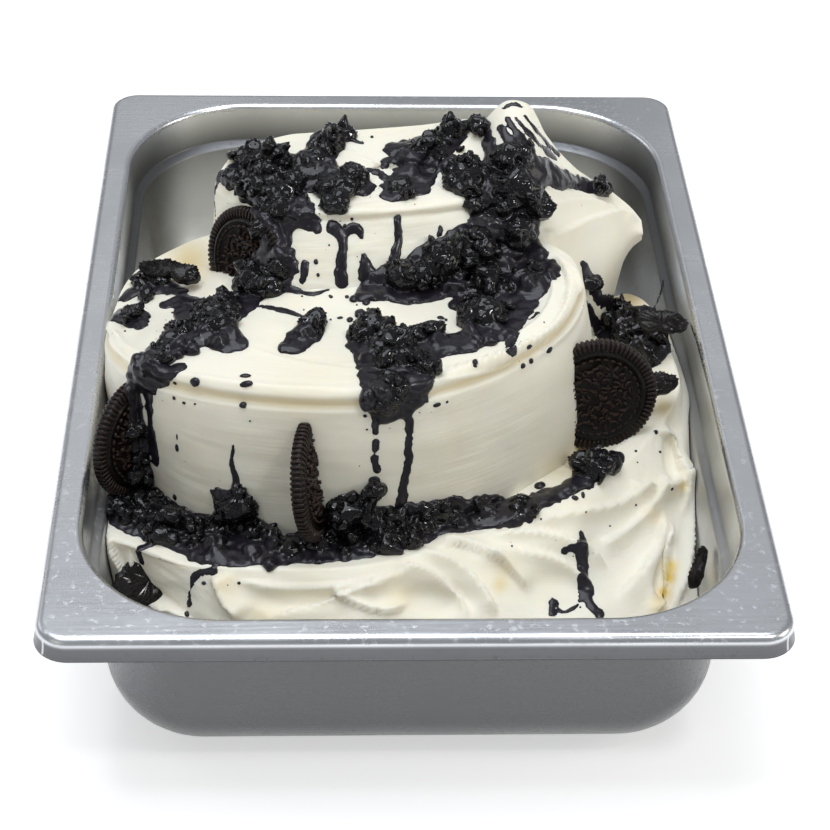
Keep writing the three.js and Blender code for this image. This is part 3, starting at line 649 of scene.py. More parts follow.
class Surface:
    """What the sauce lies on: it is asked for the point that shows at a place in the picture."""

    def __init__(self, things):
        self.parts = []
        points, faces, start = [], [], 0
        for thing in things:
            mesh = thing.data
            mesh.calc_loop_triangles()
            tris = np.zeros(len(mesh.loop_triangles) * 3, np.int32)
            mesh.loop_triangles.foreach_get("vertices", tris)
            self.parts.append((mesh_points(mesh), tris.reshape(-1, 3)))
            points.append(self.parts[-1][0])
            faces.append(self.parts[-1][1] + start)
            start += len(mesh.vertices)
        self.tree = BVHTree.FromPolygons(np.concatenate(points).tolist(), np.concatenate(faces).tolist())
        self.grids = None

    def at(self, x, y):
        point, normal, _, _ = self.tree.ray_cast(Vector(EYE), view_ray(x, y))
        return None if point is None else (array(point), array(normal))


# ---------- materials ----------


class NodeTree:
    """A node tree whose nodes are added with their settings and inputs at once."""

    def add(self, kind, inputs=(), **settings):
        node = self.tree.nodes.new(kind)
        for name, value in settings.items():
            setattr(node, name, value)
        for name, value in dict(inputs).items():
            self.feed(node, name, value)
        return node

    def feed(self, node, name, value):
        if isinstance(value, bpy.types.NodeSocket):
            self.tree.links.new(value, node.inputs[name])
        else:
            node.inputs[name].default_value = value

    def math(self, operation, first, second=0.0):
        return self.add("ShaderNodeMath", {0: first, 1: second}, operation=operation).outputs[0]


class Finish(NodeTree):
    """A material's node tree, with its Principled BSDF at hand."""

    def __init__(self, name):
        self.material = bpy.data.materials.new(name)
        self.material.use_nodes = True
        self.tree = self.material.node_tree
        self.shader = next(n for n in self.tree.nodes if n.type == "BSDF_PRINCIPLED")

    def set(self, **inputs):
        for name, value in inputs.items():
            self.feed(self.shader, name.replace("_", " "), value)

    def attribute(self, name):
        return self.add("ShaderNodeAttribute", attribute_name=name).outputs["Fac"]

    def place(self, kind="Object", scale=(1, 1, 1)):
        source = self.add("ShaderNodeTexCoord").outputs[kind]
        return self.add("ShaderNodeMapping", {"Vector": source, "Scale": scale}).outputs[0]

    def mask(self, place, scale, detail=4.0, low=0.35, high=0.65):
        given = {"Place": place, "Scale": scale, "Detail": detail, "Low": low, "High": high}
        return self.add("ShaderNodeGroup", given, node_tree=grain_group()).outputs["Mask"]

    def blend(self, share, first, second):
        return self.add("ShaderNodeMix", {0: share, 6: first, 7: second}, data_type="RGBA").outputs[2]

    def span(self, value, low, high):
        """Spreads a value from 0 to 1 over low to high."""
        return self.add("ShaderNodeMapRange", {"Value": value, "To Min": low, "To Max": high}).outputs[0]

    def bump(self, height, distance_mm):
        node = self.add("ShaderNodeBump", {"Height": height, "Distance": distance_mm * MM, "Strength": 1.0})
        self.set(Normal=node.outputs[0])


def toned(colour, share=1):
    """The colour, darker or lighter by a share."""
    return [part * share for part in colour[:3]] + [1]


def grain_group():
    """Shared mask of fine noise: 0 below Low, 1 above High."""
    name = "Fine grain"
    if name in bpy.data.node_groups:
        return bpy.data.node_groups[name]
    tree = bpy.data.node_groups.new(name, "ShaderNodeTree")
    tree.interface.new_socket("Place", in_out="INPUT", socket_type="NodeSocketVector")
    for label, value in (("Scale", 100.0), ("Detail", 4.0), ("Low", 0.35), ("High", 0.65)):
        socket = tree.interface.new_socket(label, in_out="INPUT", socket_type="NodeSocketFloat")
        socket.default_value = value
    tree.interface.new_socket("Mask", in_out="OUTPUT", socket_type="NodeSocketFloat")
    into = tree.nodes.new("NodeGroupInput")
    out = tree.nodes.new("NodeGroupOutput")
    noise = tree.nodes.new("ShaderNodeTexNoise")
    spread = tree.nodes.new("ShaderNodeMapRange")
    spread.interpolation_type = "SMOOTHSTEP"
    for start, output, end, socket in (
        (into, "Place", noise, "Vector"), (into, "Scale", noise, "Scale"),
        (into, "Detail", noise, "Detail"), (noise, "Fac", spread, "Value"),
        (into, "Low", spread, "From Min"), (into, "High", spread, "From Max"),
        (spread, "Result", out, "Mask"),
    ):
        tree.links.new(start.outputs[output], end.inputs[socket])
    return tree


def steel_finish(colour):
    finish = Finish("Satin steel")
    place = finish.place()
    clouds = finish.mask(place, 28, 6, 0.3, 0.7)
    specks = finish.mask(place, 420, 3, 0.56, 0.72)
    lines = finish.mask(finish.place(scale=(30, 900, 900)), 1, 3, 0.3, 0.7)
    shade = finish.blend(finish.math("MULTIPLY", clouds, 0.6), toned(colour), toned(colour, 0.82))
    worn = finish.blend(finish.math("MULTIPLY", specks, 0.25), shade, [0.85, 0.86, 0.87, 1])
    # The inner mask paints shade and a warm reflection of the cream on the pan's inside.
    painted_warm_shade = [part * share for part, share in zip(colour, (0.21, 0.2, 0.165))] + [1]
    shaded_steel = finish.blend(finish.attribute("inner"), worn, painted_warm_shade)
    # Painted shade on the ledge, from the ledge mask.
    shaded_steel = finish.blend(finish.attribute("ledge"), shaded_steel, toned(colour, 0.16))
    # The outer mask paints the outside of the body and the lip's outer face much darker: painted shade,
    # standing for the dark surroundings that they reflect.
    finish.set(Base_Color=finish.blend(finish.attribute("outer"), shaded_steel, toned(colour, 0.18)))
    rough = finish.math("ADD", finish.span(clouds, 0.22, 0.3), finish.math("MULTIPLY", specks, 0.12))
    rough = finish.math("ADD", rough, finish.math("MULTIPLY", finish.attribute("matt"), 0.16))
    finish.set(Metallic=1.0, Roughness=finish.math("ADD", rough, finish.math("MULTIPLY", lines, 0.05)))
    finish.bump(finish.math("ADD", lines, finish.math("MULTIPLY", specks, 2.0)), 0.012)
    return finish.material


def cream_finish(colour, shade_tint):
    finish = Finish("Cream gelato")
    # Painted warm shade in the hollows, folds and groove, mixed with a little tone that differs at random in
    # patches.
    painted_shade = finish.attribute("shade_tint")
    place = finish.place()
    patches = finish.mask(place, 35, 4, 0.4, 0.75)
    share = finish.math("ADD", painted_shade, finish.math("MULTIPLY", patches, 0.06))
    finish.set(Base_Color=finish.blend(share, toned(colour), toned(shade_tint)))
    swept = finish.mask(finish.place("UV", (2.2, 90, 1)), 1, 3, 0.3, 0.7)
    fine = finish.mask(place, 900, 2, 0.3, 0.7)
    finish.set(Roughness=finish.span(patches, 0.42, 0.52), Subsurface_Weight=finish.span(painted_shade, 0.35, 0.05))
    finish.set(Subsurface_Radius=(1.0, 0.72, 0.45), Subsurface_Scale=0.0035, Specular_IOR_Level=0.4)
    drawn = finish.math("MULTIPLY", swept, finish.mask(finish.place(), 14, 2, 0.35, 0.65))
    finish.bump(finish.math("ADD", drawn, finish.math("MULTIPLY", fine, 0.12)), 0.05)
    return finish.material


def sauce_finish(name, colour, crumbly=None):
    """Wet dark sauce. Its crumbly parts are gritty, and so is all of it when crumbly is a number."""
    finish = Finish(name)
    if crumbly is None:
        crumbly = finish.attribute("crumbly")
    place = finish.place()
    grit = finish.mask(place, 760, 3, 0.38, 0.62)
    soft = finish.mask(place, 160, 3, 0.3, 0.7)
    pool = finish.blend(soft, toned(colour), toned(colour, 1.6))
    finish.set(Base_Color=finish.blend(crumbly, pool, toned(colour, 0.3)))
    finish.set(Roughness=finish.span(crumbly, 0.3, 0.45))
    finish.set(Specular_IOR_Level=finish.span(crumbly, 0.16, 0.08))
    finish.set(Coat_Weight=finish.span(crumbly, 0.42, 0.75), Coat_Roughness=finish.span(crumbly, 0.2, 0.08))
    height = finish.math("MULTIPLY", grit, finish.span(crumbly, 0.05, 1.0))
    finish.bump(finish.math("ADD", height, finish.math("MULTIPLY", soft, 0.3)), 0.6)
    return finish.material


def biscuit_finish(colour):
    finish = Finish("Cocoa biscuit")
    place = finish.place()
    patches = finish.mask(place, 180, 4, 0.3, 0.7)
    crumb = finish.mask(place, 1400, 4, 0.35, 0.65)
    # The raised strokes and ribs are painted lighter, a painted highlight on the relief, and the face
    # between them darker, painted shade.
    low = finish.blend(crumb, toned(colour, 0.25), toned(colour, 0.7))
    high = finish.blend(crumb, toned(colour, 2.0), toned(colour, 4.4))
    finish.set(Base_Color=finish.blend(finish.attribute("raised"), low, high))
    finish.set(Roughness=finish.span(patches, 0.3, 0.45), Specular_IOR_Level=0.15)
    finish.set(Coat_Weight=0.26, Coat_Roughness=0.16)
    finish.bump(finish.math("ADD", crumb, finish.math("MULTIPLY", patches, 0.6)), 0.1)
    return finish.material


def soaked_finish(colour):
    """Biscuit that the sauce has soaked: nearly black, with a wet gleam on its crumb."""
    finish = Finish("Soaked biscuit")
    place = finish.place()
    crumb = finish.mask(place, 1100, 4, 0.35, 0.65)
    wet = finish.mask(place, 160, 3, 0.35, 0.65)
    finish.set(Base_Color=finish.blend(crumb, toned(colour, 0.3), toned(colour, 0.8)))
    finish.set(Roughness=finish.span(wet, 0.35, 0.55))
    finish.set(Coat_Weight=finish.math("MULTIPLY", wet, 0.5), Coat_Roughness=0.1, Specular_IOR_Level=0.2)
    finish.bump(finish.math("ADD", crumb, wet), 0.4)
    return finish.material


def floor_finish(colour):
    finish = Finish("Pale floor")
    finish.set(Base_Color=toned(colour), Roughness=0.7, Specular_IOR_Level=0.2)
    finish.set(Emission_Color=(1, 1, 1, 1), Emission_Strength=0.5)
    return finish.material


# ---------- pan ----------


def make_pan(fine=7, corner_steps=26):
    """The pressed sheet, with masks of painted shade on its outside, its inside and its ledge, and of its
    matt inside.
    """
    stations = pan_stations(fine)
    upper = [pan_ring(inset, z, corner, corner_steps) for inset, z, corner, _, _ in stations]
    lower = []
    for inset, z, corner, out, down in stations:
        length = math.hypot(out, down)
        shift = PAN["sheet"] * out / length
        low = z + PAN["sheet"] * down / length
        lower.append(pan_ring(inset + shift, low, max(corner - shift, 1), corner_steps))
    grid = array(lower[::-1] + upper)
    outside = np.zeros(grid.shape[:2])
    outside[:len(lower)] = 1
    low = smooth_step(PAN["depth"] - 1, PAN["depth"] - 6, grid[..., 2])
    reach = array([PAN["width"], PAN["length"]]) / 2 - 2.9
    beyond = (np.abs(grid[..., :2]) > reach).any(-1)
    # The outside is painted darker below the flange and on the lip's outer face: painted shade.
    under = smooth_step(PAN["depth"] - 9.5, PAN["depth"] - 10.5, grid[..., 2])
    lip = smooth_step(PAN["depth"] - 2.2, PAN["depth"] - 3.6, grid[..., 2])
    # Painted shade on the ledge inside the pan, weaker towards the front, which hides the highlight that it
    # would catch.
    ledge = np.exp(-((grid[..., 2] - PAN["depth"] + PAN["neck_drop"] + 1) / 3) ** 2) * (1 - outside)
    ledge *= 0.3 + 0.7 * smooth_step(-80, 0, grid[..., 1])
    # Painted shade on the inside: a little over most of it, fading out towards the front, and more on the
    # side walls from the middle to near the back.
    sides = smooth_step(90, 108, np.abs(grid[..., 0])) * smooth_step(-50, 20, grid[..., 1])
    plain = 0.2 * smooth_step(-120, -20, grid[..., 1])
    shade = (1 - outside) * low * ~beyond * (plain + 0.8 * sides * smooth_step(172, 140, grid[..., 1]))
    masks = {
        "outer": np.where(beyond, lip, outside * under), "inner": shade, "ledge": ledge,
        "matt": (1 - outside) * low * ~beyond,
    }
    return skin("pan_sheet", grid, masks)


# ---------- gelato ----------

SIDES = 760  # points round each band


def top_rings(edge, centre, valley, shares):
    """Rings from a band's edge in to its centre, with a valley behind the edge."""
    hub = array(centre)
    rings = []
    for share in shares:
        ring = edge + (hub - edge) * share
        ring[:, 2] -= valley * min(share / 0.3, 1)
        rings.append(ring)
    return rings


def lower_band_grid():
    """The band that fills the pan: its leaning wall, and its top."""
    rows = array(LOWER_BAND["rows"])
    crest = ring_curve(rows[:, :3], SIDES)
    foot = ring_curve(np.column_stack([rows[:, 3:5], np.zeros(len(rows))]), SIDES)
    side = outward(crest)
    corner = np.exp(-(((crest[:, :2] - array(LOWER_BAND["corner"])) / 26) ** 2).sum(1, keepdims=True))
    rings = []
    for share in np.linspace(0, 1, 84) ** 0.9:
        push = LOWER_BAND["bulge"] * math.sin(math.pi * share) * (1 - 0.9 * corner)
        rings.append(foot + (crest - foot) * share + side * push)
    shares = np.concatenate([np.linspace(0.015, 0.3, 22), np.linspace(0.36, 0.9, 8)])
    return array(rings + top_rings(crest, LOWER_BAND["centre"], LOWER_BAND["valley"], shares))


def standing_band_grid(band, wall_rings, top_shares):
    """A band that stands on the one below: wall, rolled bead over a groove, and top."""
    rows = array(band["rows"])
    edge = ring_curve(rows[:, :3], SIDES)
    feet = ring_curve(np.column_stack([rows[:, :2], rows[:, 4]]), SIDES)[:, 2]
    leans = ring_curve(np.column_stack([rows[:, :2], rows[:, 3]]), SIDES)[:, 2]
    side = outward(edge)
    bead, groove = band["bead"], band["groove"]
    rings = []
    for share in np.linspace(0, 1, wall_rings):
        push = leans * (1 - share) + band["bulge"] * math.sin(math.pi * share)
        ring = edge + side * push[:, None]
        ring[:, 2] = feet + (edge[:, 2] - bead - feet) * share
        rings.append(ring)
    for step in np.linspace(0, 1, 14)[1:]:
        angle = step * math.pi / 2
        dip = groove * smooth_step(0, 0.1, step) * smooth_step(0.6, 0.15, step)
        ring = edge - side * (groove * 0.2 + bead * 0.62 * (1 - math.cos(angle)) + dip * 0.9)
        ring[:, 2] = edge[:, 2] - bead + bead * math.sin(angle)
        rings.append(ring)
    return array(rings + top_rings(rings[-1], band["centre"], 0, top_shares)), len(rings)


def fold_grid(stations=150, front=70, back=26):
    """The folded end: a ridge with a swept face in front of it and a lee behind it."""
    rows = array(FOLD["rows"])
    curve = open_curve(rows[:, :3], stations)
    rest = open_curve(np.column_stack([rows[:, 3:5], rows[:, 5]]), stations)
    under = open_curve(np.column_stack([rows[:, 0], rows[:, 6], rows[:, 6] * 0]), stations)[:, 1]
    rings = []
    for (x, ridge_y, ridge_z), (front_y, front_z, back_y), foot_z in zip(curve, rest, under):
        middle = [(front_y * 2 + ridge_y) / 3 - FOLD["bulge"], (front_z + ridge_z * 2) / 3]
        rear = [ridge_y + (back_y - ridge_y) * 0.35, (foot_z + ridge_z * 2) / 3]
        face = bezier([front_y, front_z], middle, [ridge_y, ridge_z], front)
        lee = bezier([ridge_y, ridge_z], rear, [back_y, foot_z], back)
        ring = np.concatenate([[[front_y, foot_z]], lee[::-1], face[::-1][1:]])
        rings.append(np.column_stack([np.full(len(ring), x), ring]))
    return array(rings)


def bezier(start, middle, end, steps):
    """A curve from start to end that is drawn towards the middle."""
    t = np.linspace(0, 1, steps)[:, None]
    return (1 - t) ** 2 * array(start) + 2 * t * (1 - t) * array(middle) + t ** 2 * array(end)


# Folds torn by the paddle: picture points along the fold's edge, height in mm, how far it fades, in
# picture points, and which side of the line it fades on.
FOLDS = [
    ([[104, 533], [133, 572], [172, 604], [195, 622]], 2.2, 26, 1),
    ([[128, 548], [150, 585], [190, 616]], 1.6, 22, 1),
    ([[212, 574], [222, 600], [240, 622]], 2.4, 30, -1),
    ([[230, 579], [290, 586], [350, 583], [420, 566]], 1.4, 16, 1),
    ([[262, 618], [320, 606], [352, 590], [392, 578]], 1.8, 20, 1),
    ([[330, 585], [345, 600], [385, 612], [410, 604]], 1.8, 16, -1),
    ([[392, 560], [430, 572], [455, 592], [470, 618]], 2.2, 26, 1),
    ([[418, 548], [452, 560], [480, 585], [500, 618]], 2.0, 24, 1),
    ([[430, 540], [470, 548], [505, 565], [530, 596]], 1.8, 24, -1),
    ([[470, 556], [520, 552], [560, 560], [600, 590]], 1.6, 22, 1),
    ([[480, 535], [530, 532], [575, 542], [612, 570]], 2.0, 26, 1),
    ([[530, 520], [580, 510], [622, 500], [655, 478]], 1.6, 22, 1),
    ([[590, 545], [625, 530], [650, 505], [668, 470]], 2.2, 26, 1),
    ([[612, 600], [640, 575], [655, 545], [664, 510]], 2.0, 22, 1),
    ([[628, 480], [655, 490], [672, 486], [688, 470]], 2.6, 18, 1),
    ([[655, 430], [670, 440], [680, 470], [682, 520]], 2.2, 16, -1),
    ([[672, 520], [668, 560], [660, 600], [652, 618]], 2.4, 16, 1),
    ([[684, 450], [690, 500], [688, 560], [676, 610]], 2.0, 12, 1),
    ([[560, 480], [600, 462], [640, 430], [668, 395]], 1.2, 20, 1),
]
# Lines that the paddle left on the middle band's top, in the same form.
CURLS = [
    ([[104, 312], [112, 335], [132, 352], [160, 362]], 0.9, 14, -1),
    ([[112, 330], [120, 348], [140, 362]], 0.8, 10, -1),
    ([[548, 256], [562, 266], [569, 290], [554, 322], [505, 352], [430, 372]], 1.6, 12, -1),
    ([[560, 258], [576, 276], [579, 304], [562, 334], [520, 358]], 1.1, 8, -1),
    ([[546, 268], [553, 290], [540, 318], [508, 340]], 1.0, 10, -1),
    ([[170, 372], [260, 384], [350, 388]], 0.6, 8, 1),
    ([[240, 345], [300, 362], [360, 370]], 0.5, 12, 1),
    ([[420, 382], [500, 368], [556, 342]], 0.7, 7, 1),
]


FOLD_STEPS = 40
# Soft steps in the wall of the folded end, in the same form.
WALL_FOLDS = [
    ([[536, 232], [560, 230], [590, 218], [622, 212], [640, 222]], 1.5, 26, 1),
    ([[545, 205], [570, 200], [600, 202], [626, 214]], 1.0, 16, 1),
    ([[548, 190], [575, 192], [600, 200]], 0.8, 12, 1),
]


# Hollows that the paddle left: picture point, reach across and down in picture points, depth in mm.
LOWER_HOLLOWS = [
    [618, 545, 34, 44, 4.0], [560, 590, 40, 22, 2.5], [440, 600, 34, 16, 3.0], [300, 600, 40, 12, 2.0],
    [500, 535, 50, 14, 1.5], [664, 575, 10, 34, 4.5], [672, 450, 8, 30, 2.5], [170, 600, 24, 16, 1.5],
]
MIDDLE_HOLLOWS = [
    [470, 288, 84, 40, 3.4], [190, 300, 60, 26, 1.2], [330, 350, 70, 20, 1.0], [130, 345, 16, 18, 1.4],
    [592, 420, 13, 42, -3.6],
]


def press_hollows(grid, hollows):
    """Presses shallow hollows into the side that the picture shows."""
    normals = grid_normals(grid)
    seen = to_picture(grid)
    towards = smooth_step(-0.1, 0.2, np.einsum("...k,...k->...", normals, unit(EYE - grid)))
    depth = np.zeros(grid.shape[:2])
    for x, y, wide, high, deep in hollows:
        gap = ((seen[..., 0] - x) / wide) ** 2 + ((seen[..., 1] - y) / high) ** 2
        depth += deep * np.exp(-gap * gap)
    return grid - normals * (depth * towards)[..., None]


def press_folds(grid, folds, gain):
    """Raises the edges of torn or swept folds on the side that the picture shows."""
    normals = grid_normals(grid)
    seen = to_picture(grid)
    towards = np.einsum("...k,...k->...", normals, unit(EYE - grid)) > -0.1
    height = np.zeros(grid.shape[:2])
    for line, lift, fade, side in folds:
        curve = open_curve([[x, y, 0] for x, y in line], FOLD_STEPS)[:, :2]
        low, high = curve.min(0) - fade, curve.max(0) + fade
        near = towards & (seen[..., 0] > low[0]) & (seen[..., 0] < high[0])
        near &= (seen[..., 1] > low[1]) & (seen[..., 1] < high[1])
        if not near.any():
            continue
        spots = seen[near]
        gaps = spots[:, None] - curve[None]
        distance = np.linalg.norm(gaps, axis=2)
        index = distance.argmin(1)
        distance = distance[np.arange(len(spots)), index]
        along = np.gradient(curve, axis=0)[index]
        gap = gaps[np.arange(len(spots)), index]
        turn = side * (along[:, 0] * gap[:, 1] - along[:, 1] * gap[:, 0])
        signed = distance * np.sign(turn)
        share = index / (FOLD_STEPS - 1)
        ends = smooth_step(0, 0.18, share) * smooth_step(0, 0.18, 1 - share)
        back = np.clip(1 - signed / fade, 0, 1) ** 2
        front = np.clip(1 + signed / 2.2, 0, 1)
        shape = np.where(signed >= 0, back, front)
        height[near] += gain * lift * ends * shape
    return grid + normals * height[..., None]


def turn_across(grid):
    """For each point of a grid: its share of the way round, and the distance across the rings in mm."""
    turn = np.tile(np.arange(grid.shape[1]) / grid.shape[1], (len(grid), 1))
    steps = np.linalg.norm(np.diff(grid, axis=0), axis=2)
    return turn, np.concatenate([np.zeros((1, grid.shape[1])), np.cumsum(steps, 0)])


def sweep(grid, coarse, fine, seed):
    """Adds the long shallow marks of the paddle."""
    turn, across = turn_across(grid)
    height = coarse * swept_noise(turn, across, 3.2, 7.0, seed)
    height += fine * swept_noise(turn, across, 6.0, 1.9, seed + 1)
    height += fine * 0.5 * swept_noise(turn, across, 9.0, 1.1, seed + 2)
    return grid + grid_normals(grid) * height[..., None]


def shade_at(points, spots):
    """Painted warm shade round picture points: [x, y, reach, strength]."""
    seen = to_picture(points)
    shade_tint = np.zeros(points.shape[:-1])
    for x, y, reach, strength in spots:
        gap = np.hypot(seen[..., 0] - x, seen[..., 1] - y) / reach
        shade_tint += strength * np.exp(-gap * gap)
    return np.clip(shade_tint, 0, 1)


# Spots of painted warm shade in the hollows and folds: picture point, reach in picture points, strength.
SHADE_SPOTS = [
    [190, 262, 20, 0.55], [632, 298, 14, 0.5], [664, 408, 9, 0.45], [671, 566, 7, 0.9],
    [669, 578, 6, 1.0], [664, 592, 6, 0.9],
    [658, 604, 10, 0.4], [683, 486, 5, 0.6], [500, 585, 8, 0.4],
    [262, 618, 18, 0.22], [400, 595, 14, 0.2], [505, 568, 12, 0.2], [655, 515, 10, 0.25],
    [586, 450, 18, 0.25],
    [560, 470, 20, 0.16], [300, 398, 40, 0.1], [150, 500, 20, 0.15], [225, 585, 12, 0.2],
]


def make_lower_band():
    grid = lower_band_grid()
    grid = sweep(grid, 0.5, 0.12, 11)
    relief = 1.2 * soft_noise(grid, 30, 15) + 0.22 * soft_noise(grid, 11, 16)
    grid = grid + grid_normals(grid) * relief[..., None]
    grid = press_folds(press_hollows(grid, LOWER_HOLLOWS), FOLDS, 1.9)
    grid = keep_in_pan(grid)
    return skin("gelato_lower_band", grid, {"shade_tint": shade_at(grid, SHADE_SPOTS)})


def make_middle_band():
    shares = np.concatenate([np.linspace(0.02, 0.5, 44), np.linspace(0.56, 0.95, 8)])
    grid, wall = standing_band_grid(MIDDLE_BAND, 66, shares)
    grid = sweep(grid, 0.35, 0.1, 21)
    relief = 0.8 * soft_noise(grid, 30, 25) + 0.25 * soft_noise(grid, 9, 26)
    grid = grid + grid_normals(grid) * relief[..., None]
    grid = press_folds(press_hollows(grid, MIDDLE_HOLLOWS), CURLS, 1.7)
    grid = keep_in_pan(grid)
    shade_tint = shade_at(grid, SHADE_SPOTS)
    # Painted shade in the groove under the bead.
    shade_tint[wall - 13:wall - 7] += array([0.2, 0.3, 0.3, 0.26, 0.18, 0.08])[:, None]
    return skin("gelato_middle_band", grid, {"shade_tint": np.clip(shade_tint, 0, 1)})


def make_back_band():
    shares = np.concatenate([np.linspace(0.03, 0.5, 34), np.linspace(0.56, 0.95, 8)])
    grid, _ = standing_band_grid(BACK_BAND, 50, shares)
    grid = sweep(grid, 0.4, 0.12, 31)
    relief = 0.6 * soft_noise(grid, 24, 35)
    grid = keep_in_pan(grid + grid_normals(grid) * relief[..., None])
    return skin("gelato_back_band", grid, {"shade_tint": shade_at(grid, SHADE_SPOTS)})


def make_fold():
    grid = fold_grid()
    relief = 0.7 * soft_noise(grid, 20, 45) + 0.1 * soft_noise(grid * array([1, 0.3, 0.3]), 3, 46)
    grid = press_folds(grid + grid_normals(grid) * relief[..., None], WALL_FOLDS, 1.6)
    return skin("gelato_folded_end", keep_in_pan(grid), {"shade_tint": shade_at(grid, SHADE_SPOTS)})


# ---------- sauce ----------

VOXEL = 0.64  # mm between the points of a pour's field
SINK = 2.0  # mm that a pour reaches into what it lies on


def ground_grids(surface):
    """One narrow distance grid for each band that the sauce lies on."""
    if surface.grids is None:
        shape = openvdb.createLinearTransform(voxelSize=VOXEL)
        surface.grids = [
            openvdb.FloatGrid.createLevelSetFromPolygons(
                points.astype(np.float32), triangles=faces.astype(np.uint32), transform=shape, halfWidth=9.0
            )
            for points, faces in surface.parts
        ]
    return surface.grids


def follow(surface, path, random, spacing=2.6):
    """Points of a path on the surface, each with its half width."""
    spots = []
    curve = open_curve(path, max(3, int(sum(
        math.hypot(b[0] - a[0], b[1] - a[1]) for a, b in zip(path, path[1:])
    ) / spacing)))
    for x, y, radius in curve:
        hit = surface.at(x, y)
        if hit:
            spots.append((*hit, max(0.5, radius * (1 + 0.05 * (random.random() - 0.5)))))
    return spots


def scatter(surface, heap, random):
    """Crumbs of a heap: centre, size and the surface's direction."""
    x, y, spread, count, size = heap
    lumps = []
    for _ in range(int(count * 1.1)):
        angle = random.random() * 2 * math.pi
        inner = math.sqrt(random.random())
        layer = random.random() * (1 - inner) * min(1.6, spread / 12)
        hit = surface.at(x + spread * inner * math.cos(angle), y + spread * inner * 0.6 * math.sin(angle))
        radius = size * (0.45 + 0.85 * random.random() ** 1.6)
        if hit:
            point, normal = hit
            up = unit(normal + array([0, 0, 0.5]))
            lumps.append((point + normal * radius * 0.3 + up * layer * size, radius))
    return lumps


